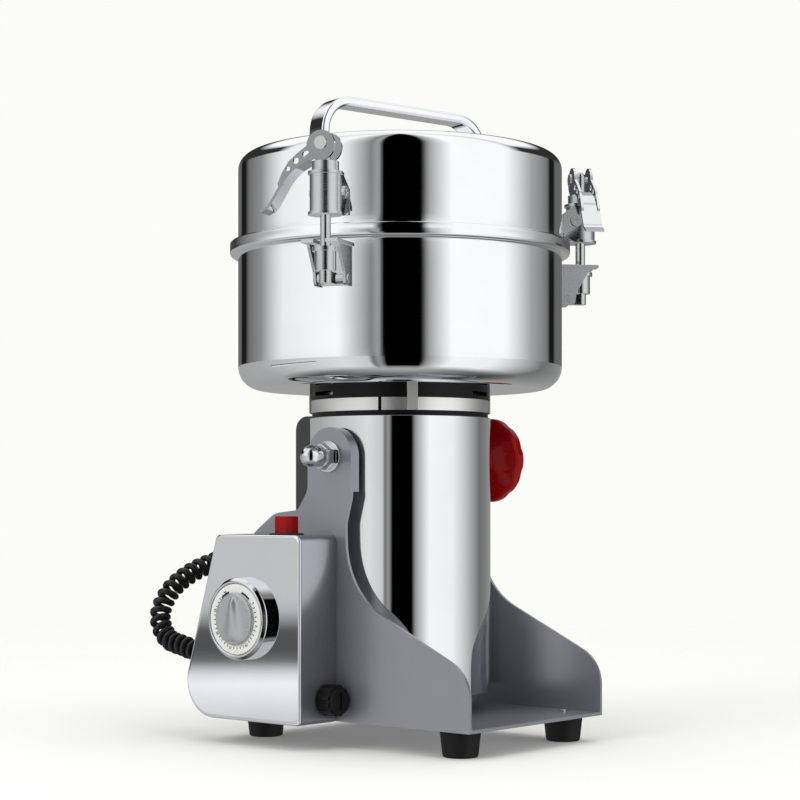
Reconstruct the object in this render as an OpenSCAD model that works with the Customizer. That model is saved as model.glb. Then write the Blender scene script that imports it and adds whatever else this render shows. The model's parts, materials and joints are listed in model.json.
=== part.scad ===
/* [Base] */
// Height of the rubber feet
foot_h = 15.5; // [10:0.5:22]
// Diameter of a foot at its top
foot_top_d = 24; // [20:1:28]
// Diameter of a foot where it stands
foot_low_d = 20.5; // [16:0.5:24]
// Distance between the feet across the base
foot_span = 100; // [84:1:102]
// Distance of the front feet from the tilt axis
foot_front = 88; // [70:1:90]
// Distance of the rear feet from the tilt axis
foot_back = 67; // [50:1:68]
// Thickness of the bent base sheet
sheet_t = 2; // [1.5:0.1:2.5]
// Gap between the motor tube and the inside of each side plate
side_gap = 7; // [6:0.5:9]
// Reach of the base in front of the tilt axis
base_front = 106.5; // [102:0.5:125]
// Reach of the base behind the tilt axis
base_back = 82; // [80:0.5:95]
// Height of the side plate's front shoulder
shoulder_z = 48.7; // [40:0.5:58]
// Height at which the sweep meets the arm
waist_z = 92.3; // [86:0.5:98]
// Radius of the sweep between the shoulder and the arm
sweep_r = 48; // [36:1:50]
// Height of the tilt axis
pivot_z = 172.4; // [171:0.2:177]
// Radius of the arm round the tilt axis
arm_r = 17.5; // [15:0.5:18.5]
// Depth of the turned rim along the top of the arm
rim_depth = 7; // [4:0.5:7.5]

/* [Control box] */
// Depth of the control box beside the side plate
box_depth = 30.5; // [26:0.5:36]
// Height of the top of the control box
box_top = 126; // [120:1:132]
// Height of the bottom of the control box
box_low = 15; // [14:0.5:18]
// Reach of the control box in front of the tilt axis
box_front = 6; // [4:0.5:12]
// Depth of the top of the control box behind the tilt axis
box_top_back = 63; // [60:0.5:68]
// Depth of the bottom of the control box behind the tilt axis
box_low_back = 96.5; // [90:0.5:102]
// Radius of the lower rear corner of the control box
box_corner = 22; // [12:1:26]
// Wall of the control box
box_wall = 2; // [1.5:0.1:3]
// Thickness of the polished face cover
cover_t = 1.5; // [1:0.1:2]
// Distance of the dial behind the tilt axis
dial_y = 39.5; // [34:0.5:44]
// Height of the dial
dial_z = 76; // [66:1:88]
// Diameter of the dial bezel
bezel_d = 49; // [46:0.5:54]
// How far the bezel stands out of the face cover
bezel_h = 7.5; // [5:0.5:10]
// Diameter of the timer knob
knob_d = 31; // [26:0.5:32]
// How far the timer knob stands out of the bezel
knob_h = 4; // [3:0.5:7]
// Number of tick marks on the dial
ticks = 36; // [12:6:60]
// Width of the power button
button_w = 10.2; // [8:0.2:12]
// Height of the power button above its housing
button_h = 10; // [7:0.5:12]
// Travel of the power button
button_travel = 3; // [2:0.5:4]
// Diameter of the fuse cap
fuse_d = 18.8; // [16:0.2:19]
// Length of the fuse cap
fuse_h = 11; // [8:0.5:14]

/* [Motor head] */
// Outer radius of the motor tube
tube_r = 56; // [50:0.5:58]
// Wall of the motor tube
tube_wall = 1.2; // [1:0.1:2]
// Height of the lower end of the motor tube
tube_low = 29.3; // [28.5:0.1:34]
// Height of the upper end of the motor tube
tube_top = 197; // [192:0.5:198]
// Height of the neck between the tube and the bowl
neck_h = 17.6; // [15:0.2:22]
// Width of the terminal cover
terminal_w = 40; // [34:1:46]
// Depth of the terminal cover behind the tube
terminal_d = 14; // [12:0.5:18]
// Height of the terminal cover
terminal_h = 100; // [90:1:102]
// Radius of the motor shaft
shaft_r = 6; // [5.5:0.1:7]
// Radius of the armature
armature_r = 30; // [26:0.5:34]
// Height of the armature stack
stack_h = 55; // [45:1:60]

/* [Bowl and lid] */
// Outer radius of the bowl and of the lid
bowl_r = 100; // [97:0.5:101]
// How far the bowl's rim band stands out from its wall
band_out = 5; // [4:0.5:7]
// Height of the rim band
band_h = 8; // [7:0.5:9]
// Wall of the bowl
bowl_wall = 1.5; // [1:0.1:2]
// Height of the bowl up to its rim band
bowl_h = 81.9; // [81:0.1:84]
// Radius of the bowl's lower corner
bowl_corner = 14; // [8:0.5:20]
// Wall of the lid
lid_wall = 1.2; // [1:0.1:2]
// Height of the lid above the rim seat
lid_h = 60.5; // [58:0.5:66]
// Radius of the lid's shoulder
lid_corner = 9; // [6:1:22]
// Height of the carrying handle above the lid
handle_h = 31.5; // [26:0.5:36]
// Length of the carrying handle over its feet
handle_len = 130; // [110:1:140]
// Length of the straight top of the carrying handle
handle_top = 127; // [104:1:138]
// Width of the carrying handle's bar
handle_w = 15; // [10:0.5:18]
// Outer radius of the handle's bends
handle_bend = 18; // [10:1:22]
// Thickness of the carrying handle's bar
handle_t = 5.5; // [4:0.5:7]
// Direction of the handle, anticlockwise from the tilt axis
handle_turn = -11.1; // [-30:0.1:30]
// Gap from the blades' tips to the bowl's wall
blade_gap = 10.5; // [6:0.5:28]

/* [Latches] */
// Distance of the latch rods from the bowl's wall
rod_out = 14.5; // [13.5:0.1:16]
// Diameter of a latch rod
rod_d = 6; // [5:0.2:6.4]
// Outer radius of a latch sleeve
sleeve_r = 9; // [8.6:0.1:9.6]
// Length of a latch sleeve
sleeve_h = 24.5; // [23:0.5:27]
// Height of the collar on a latch sleeve
collar_h = 5.6; // [4:0.2:7]
// Diameter of the cup on a latch rod
cup_d = 12.2; // [11:0.2:13]
// Radius of the cam at the head of a lever
cam_r = 8.6; // [8:0.1:9.2]
// How far the cam is off its pin
cam_off = 1.4; // [1:0.1:1.8]
// Width of a lever
lever_w = 11.8; // [11:0.2:13]
// Slope of the lid lugs under the cross screws
lug_slope = 32; // [30:1:36]

/* [Clamp knob] */
// Diameter of the clamp knob
clamp_d = 55; // [45:1:60]
// Distance of the widest part of the clamp knob from the motor axis
clamp_at = 89; // [84:1:96]
// Number of finger flutes round the clamp knob
flutes = 10; // [6:1:14]

/* [Curly lead] */
// Diameter of the lead's wire
wire_d = 3.6; // [3:0.1:3.8]
// Outer diameter of the lead's curls
curl_d = 13.5; // [12:0.1:14]
// Number of curls
curls = 30; // [16:1:30]
// How much wider apart the curls are at the motor end
curl_loose = 0.1; // [0.05:0.05:0.15]

/* [Hidden] */
$fn = 64;
run = 0.05;
slack = 0.3;
plate_x = tube_r + side_gap;
frame_x = plate_x + sheet_t;
floor_z = foot_h + sheet_t;
box_x = frame_x + box_depth;
face_x = box_x + cover_t;
box_lean = (box_low_back - box_top_back) / (box_top - box_low);
box_tilt = atan(box_lean);
stud_r = 5;
bush_r = 7;
bush_flange = 1;
washer_t = 1.6;
bezel_lip = 3.5;
bezel_face = face_x + bezel_h;
dial_r = bezel_d / 2 - bezel_lip;
timer_knob_r = knob_d / 2;
button_x = frame_x + box_depth * 0.72;
button_y = box_top_back * 0.22;
button_flange = 1;
housing_h = 18;
fuse_x = frame_x + fuse_d / 2 + 0.6;
fuse_z = box_low + fuse_d / 2 + 4.6;
lead_gland_rise = 35;
lead_gland_z = box_low + lead_gland_rise;
mains_gland_rise = 69;
mains_gland_z = box_low + mains_gland_rise;
gland_x = frame_x + box_depth * 0.6;
gland_r = 8;
gland_t = 2.5;
gland_stem = 5;
bowl_low = tube_top + neck_h;
band_r = bowl_r + band_out;
rod_at = bowl_r + rod_out;
blade_r = bowl_r - bowl_wall - blade_gap;
seat_z = bowl_low + bowl_h;
gasket_t = 2.3;
lid_low = seat_z + bowl_wall + gasket_t;
lid_top = lid_low + lid_h - gasket_t;
bearing_r = 14;
lower_bearing_r = 11;
bearing_h = 8;
seal_r = 10;
stack_rise = 44;
stack_low = tube_low + stack_rise;
brush_rise = 25;
brush_z = tube_low + brush_rise;
commutator_h = 16;
fan_rise = 16;
slot_out = 12;
coil_in = 7;
coil_low_h = 8;
coil_top_h = 10;
latch_angles = [for (i = [0:2]) handle_turn + 90 + 120 * i];
pin_in = 9.3;
hinge_z = seat_z - 24.1;
hinge_r = rod_at - pin_in;
plate_top = seat_z - 3.3;
bracket_t = 2;
cup_top = plate_top - bracket_t - 1.8;
cup_low = hinge_z + 3.6;
sleeve_low = seat_z + band_h + 3;
sleeve_top = sleeve_low + sleeve_h;
collar_top = sleeve_top + collar_h;
screw_z = sleeve_low + 13.1;
screw_in = 5;
screw_r = 2;
cam_gap = 0.05;
cam_lead = 25;
pin_z = collar_top + cam_r + cam_off * cos(cam_lead) + cam_gap;
lever_pin_r = 2;
knob_low = plate_x + sheet_t + 1;
tick_h = 0.3;
curl_r = (curl_d - wire_d) / 2;
rings = 8;
wire_sides = 6;
lead_rise = 82.7;
lead_z = tube_low + lead_rise;

// Where the lead starts and ends, and the points that it hangs through
cover_back = tube_r + terminal_d;
lead_start = [0, cover_back + gland_t, lead_z];
lead_end = box_back_point(lead_gland_z, gland_t);
box_normal = [0, cos(box_tilt), sin(box_tilt)];
route = [
  lead_start,
  lead_start + [0, 4, 0],
  lead_start + [0, 18, 0],
  [-12, 106, 112],
  [-32, 118, 109],
  [-54, 125, 102],
  [-72, 129, 90],
  [-81, 130, 74],
  [-83, 121, 60],
  lead_end + box_normal * 16,
  lead_end + box_normal * 4,
  lead_end
];

// Outlines with rounded corners: each corner is [x, y, radius]
function unit(v) = v / norm(v);
function spin(v, a) = [v[0] * cos(a) - v[1] * sin(a), v[0] * sin(a) + v[1] * cos(a)];
function arc_corner(a, b, c, r, n) =
  let (u = unit(a - b), v = unit(c - b), half = acos(u * v) / 2)
  let (mid = b + unit(u + v) * r / sin(half), reach = r / tan(half))
  let (p = b + u * reach - mid, q = b + v * reach - mid, turn = atan2(cross(p, q), p * q))
  [for (k = [0:n]) mid + spin(p, turn * k / n)];
function flat(p) = [p[0], p[1]];
function rounded(pts, n = 8) =
  let (m = len(pts))
  [for (i = [0:m - 1])
    let (a = flat(pts[(i + m - 1) % m]), b = flat(pts[i]), c = flat(pts[(i + 1) % m]))
    each pts[i][2] == 0 ? [b] : arc_corner(a, b, c, pts[i][2], n)];

// A smooth curve through points, and a ribbon of even thickness along it
function along(p, i, t) =
  let (m = len(p) - 1, a = p[max(i - 1, 0)], b = p[i], c = p[i + 1], d = p[min(i + 2, m)])
  0.5 * (2 * b + (c - a) * t + (2 * a - 5 * b + 4 * c - d) * t * t + (3 * b - a - 3 * c + d) * t * t * t);
function smooth(p, n) =
  concat([for (i = [0:len(p) - 2], k = [0:n - 1]) along(p, i, k / n)], [p[len(p) - 1]]);
function side_of(p, i) =
  let (d = unit(p[min(i + 1, len(p) - 1)] - p[max(i - 1, 0)])) [-d[1], d[0]];
function ribbon(p, t) =
  let (m = len(p) - 1)
  concat([for (i = [0:m]) p[i] + side_of(p, i) * t / 2], [for (i = [m:-1:0]) p[i] - side_of(p, i) * t / 2]);

// A point on the sloping back of the control box, a distance out from it
function box_back_at(z) = box_top_back + (box_top - z) * box_lean;
function box_back_point(z, out) =
  [-gland_x, box_back_at(z) + out * cos(box_tilt), z + out * sin(box_tilt)];

module ring(r_out, r_in, z0, z1) {
  difference() {
    translate([0, 0, z0]) cylinder(r = r_out, h = z1 - z0);
    translate([0, 0, z0 - 1]) cylinder(r = r_in, h = z1 - z0 + 2);
  }
}
module rod_z(r, z0, z1) { translate([0, 0, z0]) cylinder(r = r, h = z1 - z0); }
module wide_rod_z(r, z0, z1) { translate([0, 0, z0]) cylinder(r = r, h = z1 - z0, $fn = 256); }
module rod_x(r, x0, x1) { translate([x0, 0, 0]) rotate([0, 90, 0]) cylinder(r = r, h = x1 - x0); }
module rod_y(r, y0, y1) { translate([0, y1, 0]) rotate([90, 0, 0]) cylinder(r = r, h = y1 - y0); }
module slab(x0, x1, y0, y1, z0, z1) { translate([x0, y0, z0]) cube([x1 - x0, y1 - y0, z1 - z0]); }
// A drawing in Y and Z, made thick along X
module across(x0, x1) { translate([x0, 0, 0]) rotate([90, 0, 90]) linear_extrude(x1 - x0) children(); }
// A drawing in X and Z, made thick along Y
module deep(y0, y1) { translate([0, y1, 0]) rotate([90, 0, 0]) linear_extrude(y1 - y0) children(); }
// A profile of radius and height, turned round the X axis, with its height along +X
module turned_x() { rotate([0, 90, 0]) rotate_extrude() children(); }
module at_pivot() { translate([0, 0, pivot_z]) children(); }
module at_latch(i) { rotate([0, 0, latch_angles[i - 1]]) children(); }
module at_rod(i) { at_latch(i) translate([rod_at, 0, 0]) children(); }
module each_latch() { for (i = [1:3]) at_latch(i) children(); }
module at_feet() {
  for (x = [-foot_span / 2, foot_span / 2], y = [-foot_front, foot_back]) translate([x, y, 0]) children();
}
module at_back(z) { translate(box_back_point(z, 0)) rotate([box_tilt, 0, 0]) children(); }

// Base

foot_hole_r = 2;
foot_recess = 7;
foot_head_r = 4.2;
rear_shoulder = 18;

module side_outline() {
  translate([0, pivot_z]) circle(r = arm_r);
  polygon(rounded([
    [-base_front, foot_h, 0], [-base_front, shoulder_z, 23], [-13.9, waist_z, sweep_r],
    [-13, pivot_z - 40, 12], [-arm_r, pivot_z - 24, 10], [-arm_r, pivot_z, 0],
    [arm_r, pivot_z, 0], [arm_r, pivot_z - 20, 10], [25.5, pivot_z - 31.8, 7], [45, pivot_z - 33.8, 16],
    [base_back - 14, pivot_z - 49.5, 24], [base_back, foot_h + rear_shoulder, 20], [base_back, foot_h, 0]
  ], 12));
}
module arm_area(r) {
  translate([0, pivot_z]) circle(r = r);
  translate([-r, pivot_z - 21]) square([2 * r, 21]);
}
module side_plate() {
  difference() {
    union() {
      across(plate_x, frame_x) side_outline();
      across(frame_x - rim_depth, frame_x) difference() {
        arm_area(arm_r);
        arm_area(arm_r - sheet_t);
        translate([-arm_r, pivot_z - 22]) square([2 * arm_r, 1]);
      }
    }
    at_pivot() rod_x(bush_r, plate_x - 1, frame_x + 1);
  }
}
module base_frame() {
  color("#9b9ba1") difference() {
    union() {
      side_plate();
      mirror([1, 0, 0]) side_plate();
      slab(-frame_x, frame_x, -base_front, base_back, foot_h, floor_z);
    }
    at_feet() rod_z(foot_hole_r, foot_h - 1, floor_z + 1);
  }
}
module rubber_feet() {
  color("#1a1a1a") at_feet() difference() {
    rotate_extrude() polygon([[0, 0], [foot_low_d / 2, 0], [foot_top_d / 2, foot_h], [0, foot_h]]);
    rod_z(foot_head_r + slack, -1, foot_recess);
    rod_z(foot_hole_r, foot_recess - 1, foot_h + 1);
  }
}
module foot_screws() {
  color("#b8b8b8") at_feet() {
    rod_z(foot_head_r, foot_recess - 3, foot_recess);
    rod_z(foot_hole_r, foot_recess, floor_z + 1.5);
  }
}
module pivot_bushes() {
  color("#e8e4d8") at_pivot() for (m = [0, 1]) mirror([m, 0, 0]) difference() {
    union() {
      rod_x(bush_r, plate_x, frame_x);
      rod_x(bush_r + 4, plate_x - bush_flange, plate_x);
    }
    rod_x(stud_r + run, plate_x - bush_flange - 1, frame_x + 1);
  }
}
module pivot_washer() {
  color("#d0d0d0") at_pivot() difference() {
    rod_x(bush_r + 2.5, -frame_x - washer_t, -frame_x);
    rod_x(stud_r + run, -frame_x - washer_t - 1, -frame_x + 1);
  }
}

// Control box

module box_outline(w) {
  lean_w = w * sqrt(1 + box_lean * box_lean);
  polygon(rounded([
    [-box_front + w, box_low + w, 3], [-box_front + w, box_top - w, 4],
    [box_back_at(box_top - w) - lean_w, box_top - w, 5],
    [box_back_at(box_low + w) - lean_w, box_low + w, box_corner - w]
  ], 10));
}
module control_box() {
  color("#8d8e94") difference() {
    across(-box_x, -frame_x) box_outline(0);
    across(-box_x - 1, -frame_x - box_wall) box_outline(box_wall);
    button_space(button_w + 2.8, box_top - box_wall - 1, box_top + 1);
    translate([-fuse_x, 0, fuse_z]) rod_y(fuse_d / 2 - 3, -box_front - 1, -box_front + box_wall + 1);
    for (z = [lead_gland_z, mains_gland_z]) at_back(z) rod_y(gland_stem, -box_wall - 2, 1);
  }
}
module box_face_cover() {
  color("#c9cbce") difference() {
    across(-face_x, -box_x) box_outline(0);
    at_dial() rod_x(4, -face_x - 1, -box_x + 1);
  }
}
module at_dial() { translate([0, dial_y, dial_z]) children(); }
module timer_body() {
  color("#d8d8d0") at_dial() {
    rod_x(20, -box_x, -box_x + 20);
    rod_x(3.9, -face_x, -box_x);
    rod_x(2.9, -bezel_face - 1, -face_x);
  }
}
module timer_bezel() {
  color("#cfd0d2") at_dial() difference() {
    union() {
      rod_x(bezel_d / 2, -bezel_face + 2, -face_x);
      rod_x(bezel_d / 2 - 1.5, -bezel_face, -face_x);
    }
    rod_x(dial_r, -bezel_face - 1, -face_x + 1);
  }
}
module dial_ring() {
  color("#f4f4f2") at_dial() {
    difference() {
      rod_x(dial_r, -bezel_face + 0.5, -face_x);
      rod_x(3.2, -bezel_face - 1, -face_x + 1);
    }
    for (k = [0:ticks - 1]) rotate([k * 360 / ticks, 0, 0])
      slab(-bezel_face + 0.5 - tick_h, -bezel_face + 0.5, -0.3, 0.3, dial_r - 4.8, dial_r - 3.2);
  }
}
module timer_knob() {
  low = -bezel_face - 0.2;
  high = -bezel_face - 1.2;
  color("#a7a9ab") at_dial() difference() {
    union() {
      rod_x(timer_knob_r, high, low);
      rod_x(timer_knob_r - 1.6, high - 1, high);
      intersection() {
        rod_x(timer_knob_r - 1.6, high - knob_h, high);
        slab(high - knob_h, high, -4.2, 4.2, -timer_knob_r, timer_knob_r);
      }
    }
    rod_x(2.9 + run, low - 2, low + 1);
  }
}
module button_space(w, z0, z1) { translate([-button_x, button_y, 0]) slab(-w / 2, w / 2, -w / 2, w / 2, z0, z1); }
module button_housing() {
  color("#222222") difference() {
    union() {
      button_space(button_w + 4.4, box_top, box_top + button_flange);
      button_space(button_w + 2.8, box_top - housing_h, box_top);
    }
    button_space(button_w + 2 * run, box_top - button_travel - 5, box_top + button_flange + 1);
  }
}
module power_button() {
  color("#d01515") button_space(button_w, box_top - 4, box_top + button_flange + button_h);
}
module fuse_holder() {
  color("#181818") translate([-fuse_x, 0, fuse_z]) difference() {
    union() {
      rod_y(fuse_d / 2 - 1, -box_front - 1.2, -box_front);
      rod_y(fuse_d / 2 - 3, -box_front, -box_front + 30);
      rod_y(fuse_d / 2 - 4, -box_front - fuse_h + 2, -box_front - 1);
    }
    rod_y(3, -box_front - fuse_h, -box_front + 28);
  }
}
module fuse_cap() {
  front = -box_front - 1.2 - slack;
  color("#111111") translate([-fuse_x, 0, fuse_z]) difference() {
    union() {
      rod_y(fuse_d / 2, front - fuse_h + 2, front);
      rod_y(fuse_d / 2 - 1.5, front - fuse_h, front);
    }
    rod_y(fuse_d / 2 - 4 + run, front - fuse_h + 2.5, front + 1);
    for (k = [0:11]) rotate([0, k * 30, 0]) translate([fuse_d / 2 + 0.6, 0, 0]) rod_y(1.4, front - fuse_h - 1, front + 1);
    slab(-1, 1, front - fuse_h - 1, front - fuse_h + 1, -5, 5);
  }
}
module gland() {
  rod_y(gland_r, 0, gland_t);
  rod_y(gland_stem, -box_wall - 1.5, 0);
}
module box_glands() {
  color("#1c1c1c") {
    at_back(lead_gland_z) gland();
    at_back(mains_gland_z) difference() {
      gland();
      rod_y(3, -box_wall - 3, gland_t + 1);
    }
  }
}

// Motor head

module at_terminal_screws() {
  for (x = [-13.5, 13.5], z = [12, terminal_h - 12]) translate([x, cover_back, terminal_low + z]) children();
}
terminal_low = tube_top + 2.5 - terminal_h;
terminal_screw_r = 1.9;
module motor_tube() {
  color("#c6c7c9") difference() {
    ring(tube_r, tube_r - tube_wall, tube_low, tube_top);
    at_terminal_screws() rod_y(terminal_screw_r, -terminal_d - 6, 1);
  }
}
module bottom_cap() {
  color("#3a3a3c") difference() {
    union() {
      rod_z(tube_r - tube_wall, tube_low, tube_low + 2);
      rod_z(lower_bearing_r + 4, tube_low, tube_low + 15);
      ring(tube_r - tube_wall, tube_r - tube_wall - 3, tube_low, tube_low + 10);
    }
    rod_z(lower_bearing_r, tube_low + 15 - bearing_h, tube_low + 16);
    for (k = [0:11]) rotate([0, 0, k * 30]) slab(22, 44, -2.5, 2.5, tube_low - 1, tube_low + 3);
  }
}
module terminal_outline(w) {
  polygon(rounded([
    [tube_r - 12, terminal_low + w, 0], [cover_back - w, terminal_low + w, 4 - w],
    [cover_back - w, terminal_low + terminal_h - w, 9 - w], [tube_r - 12, terminal_low + terminal_h - w, 0]
  ]));
}
module terminal_cover() {
  color("#bfc0c3") difference() {
    across(-terminal_w / 2, terminal_w / 2) terminal_outline(0);
    difference() {
      across(-terminal_w / 2 + 1.4, terminal_w / 2 - 1.4) terminal_outline(1.4);
      at_terminal_screws() rod_y(terminal_screw_r + 2, -terminal_d - 9, 1);
    }
    wide_rod_z(tube_r, terminal_low - 1, terminal_low + terminal_h + 1);
    at_terminal_screws() rod_y(terminal_screw_r, -terminal_d - 9, 1);
    translate([0, cover_back, lead_z]) rod_y(gland_stem, -3, 1);
  }
}
module cover_screws() {
  color("#c8c8c8") at_terminal_screws() {
    rod_y(terminal_screw_r, -terminal_d - 2.5, 0);
    difference() {
      rod_y(3.6, 0, 2);
      slab(-0.5, 0.5, 1, 3, -2.2, 2.2);
      slab(-2.2, 2.2, 1, 3, -0.5, 0.5);
    }
  }
}
module motor_gland() {
  color("#1c1c1c") translate([0, cover_back, lead_z]) gland();
}
module pivot_stud() {
  color("#b5b6b8") at_pivot() difference() {
    union() {
      rod_x(bush_r + 3, -plate_x + bush_flange, -tube_r + 6);
      rod_x(stud_r, -frame_x - washer_t - 12, -plate_x + bush_flange);
    }
    translate([0, 0, -pivot_z]) wide_rod_z(tube_r, tube_low, tube_top);
  }
}
module acorn_nut() {
  hex = 7;
  body = 7;
  far = -frame_x - washer_t;
  color("#d6d6d6") at_pivot() difference() {
    union() {
      intersection() {
        translate([far, 0, 0]) rotate([0, -90, 0]) cylinder(r = 8.1, h = hex, $fn = 6);
        translate([far + 0.6, 0, 0]) rotate([0, -90, 0]) cylinder(r1 = 8.6, r2 = 7.3, h = hex + 1);
      }
      rod_x(6.5, far - hex - body, far);
      translate([far - hex - body, 0, 0]) sphere(r = 6.5);
    }
    rod_x(stud_r, far - 12, far + 1);
  }
}
module clamp_boss() {
  color("#b5b6b8") at_pivot() difference() {
    rod_x(bush_r + 3, tube_r - 6, plate_x - bush_flange);
    translate([0, 0, -pivot_z]) wide_rod_z(tube_r, tube_low, tube_top);
    rod_x(stud_r + run, tube_r - 8, plate_x);
  }
}
module clamp_screw() {
  color("#b8b8b8") at_pivot() rod_x(stud_r, tube_r + 1, clamp_at + 1);
}
module clamp_knob() {
  r = clamp_d / 2;
  low = clamp_at - 9;
  color("#b3121a") at_pivot() difference() {
    turned_x() polygon([
      [0, knob_low], [12, knob_low], [12, low - 4], [r - 8, low], [r - 1.5, low + 4], [r, low + 6],
      [r, clamp_at + 2], [r - 5, clamp_at + 7], [r - 12, clamp_at + 9], [0, clamp_at + 9]
    ]);
    rod_x(stud_r, knob_low - 1, clamp_at + 1);
    for (k = [0:flutes - 1]) rotate([k * 360 / flutes, 0, 0])
      translate([0, 0, r + 12.3]) rod_x(13, low - 5, clamp_at + 10);
  }
}
neck_r = tube_r - 3;
flange_low = tube_top + neck_h - 7;
strap_half = 3.2;
module at_straps() { for (k = [0:3]) rotate([0, 0, 228 + 90 * k]) children(); }
module end_frame() {
  color("#1d1d1f") difference() {
    union() {
      rod_z(tube_r - tube_wall, tube_top - 8, tube_top);
      rod_z(tube_r - 1.5, tube_top, tube_top + 3);
      rod_z(neck_r, tube_top, flange_low + 1);
      rod_z(bearing_r + 5, tube_top - 10, bowl_low);
      rod_z(tube_r - 0.5, flange_low, bowl_low);
    }
    at_straps() slab(neck_r - 0.2, tube_r + 1, -strap_half, strap_half, flange_low - 1, bowl_low + 1);
    at_bowl_blocks() slab(-0.3, block_l + 0.3, -block_half - 0.3, block_half + 0.3, bowl_low - 6.6, bowl_low + 1);
    at_bowl_blocks() slab(block_l - 1, block_l + 8, 0.6 - block_half, block_half - 0.6, bowl_low - 4.6, bowl_low - 2.3);
    difference() {
      rod_z(neck_r - 4, tube_top - 9, tube_top + neck_h - 9.6);
      rod_z(bearing_r + 5, tube_top - 11, bowl_low);
      for (k = [0:3]) rotate([0, 0, k * 90]) slab(0, neck_r, -3, 3, tube_top - 4, bowl_low - 5);
    }
    rod_z(bearing_r, tube_top - 11, tube_top - 10 + bearing_h + 2);
    rod_z(shaft_r + 1, tube_top - 12, bowl_low - 4);
    rod_z(seal_r, bowl_low - 5, bowl_low + 1);
    at_bowl_screws() rod_z(2, bowl_low - 12, bowl_low + 1);
  }
}
module neck_ring() {
  color("#d4d5d6") difference() {
    union() {
      ring(tube_r - 0.5, neck_r, tube_top + 3, flange_low);
      at_straps() slab(neck_r, tube_r + 0.3, -strap_half, strap_half, tube_top + 3, bowl_low);
    }
    for (k = [0:3]) rotate([0, 0, 208 + 90 * k]) slab(neck_r - 1, tube_r + 1, -1, 1, tube_top + 2, flange_low + 1);
    rod_z(neck_r, tube_top, bowl_low + 1);
  }
}
module stator_core() {
  color("#6d6f73") difference() {
    ring(tube_r - tube_wall, armature_r + 0.6, stack_low, stack_low + stack_h);
    for (k = [0:3]) rotate([0, 0, 45 + k * 90]) translate([armature_r + slot_out, 0, 0]) rod_z(5, stack_low - 1, stack_low + stack_h + 1);
  }
}
module field_coils() {
  color("#a4562a") {
    ring(tube_r - coil_in, armature_r + 3, stack_low - coil_low_h, stack_low);
    ring(tube_r - coil_in, armature_r + 3, stack_low + stack_h, stack_low + stack_h + coil_top_h);
  }
}
module bearings() {
  color("#aeb0b2") {
    ring(bearing_r, shaft_r + run, tube_top - 8, tube_top - 8 + bearing_h);
    ring(lower_bearing_r, shaft_r + run, tube_low + 15 - bearing_h, tube_low + 15);
  }
}
commutator_r = 15;
module brush_holders() {
  z = brush_z;
  color("#5a3a20") difference() {
    union() {
      ring(tube_r - tube_wall, tube_r - 9, z - 6, z + 6);
      translate([0, 0, z]) rod_x(5, -tube_r + 8, tube_r - 8);
    }
    rod_z(commutator_r + slack, z - 8, z + 8);
  }
}
module shaft_seal() {
  color("#2a2a2a") ring(seal_r, shaft_r + run, bowl_low - 5, bowl_low + 4);
}
blade_low = 12;
blade_step = 8;
blade_t = 2.5;
module motor_shaft() {
  color("#b0b2b4") {
    rod_z(shaft_r, tube_low + 7.5, bowl_low + blade_low);
    rod_z(shaft_r - 1, bowl_low + blade_low, bowl_low + blade_low + blade_step + blade_t + 10);
  }
}
module armature() {
  color("#7b5a36") difference() {
    union() {
      rod_z(armature_r, stack_low, stack_low + stack_h);
      rod_z(armature_r - 5, stack_low - 7, stack_low + stack_h + 8);
    }
    rod_z(shaft_r, stack_low - 8, stack_low + stack_h + 9);
    for (k = [0:15]) rotate([0, 0, k * 22.5]) slab(armature_r - 4, armature_r + 1, -1, 1, stack_low - 1, stack_low + stack_h + 1);
  }
}
module commutator() {
  color("#b06a35") ring(commutator_r, shaft_r, brush_z - commutator_h / 2, brush_z + commutator_h / 2);
}
module cooling_fan() {
  z = stack_low + stack_h + fan_rise;
  color("#2c2c2e") difference() {
    union() {
      rod_z(12, z, z + 12);
      rod_z(tube_r - 12, z, z + 1.5);
      for (k = [0:9]) rotate([0, 0, k * 36]) slab(8, tube_r - 12, -0.8, 0.8, z, z + 10);
    }
    rod_z(shaft_r, z - 1, z + 13);
  }
}
module blade() {
  difference() {
    union() {
      rod_z(13, 0, blade_t);
      linear_extrude(blade_t) polygon([
        [-blade_r, -6], [-12, -11], [12, -11], [blade_r, 0], [blade_r, 6], [12, 11], [-12, 11], [-blade_r, 0]
      ]);
      for (k = [0, 1]) rotate([0, 0, k * 180]) translate([blade_r, 0, 0]) rotate([0, -35, 0])
        slab(-1, 5, 1, 5, 0.9, blade_t - 0.2);
    }
    rod_z(shaft_r - 1, -1, blade_t + 1);
  }
}
module blades() {
  color("#c2c4c6") {
    translate([0, 0, bowl_low + blade_low]) blade();
    translate([0, 0, bowl_low + blade_low + blade_step]) rotate([0, 0, 90]) blade();
    ring(9, shaft_r - 1, bowl_low + blade_low + blade_t, bowl_low + blade_low + blade_step);
  }
}
module blade_nut() {
  low = bowl_low + blade_low + blade_step + blade_t;
  color("#d0d0d0") difference() {
    translate([0, 0, low]) cylinder(r = 9.2, h = 8, $fn = 6);
    rod_z(shaft_r - 1, low - 1, low + 9);
  }
}

// Bowl

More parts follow.
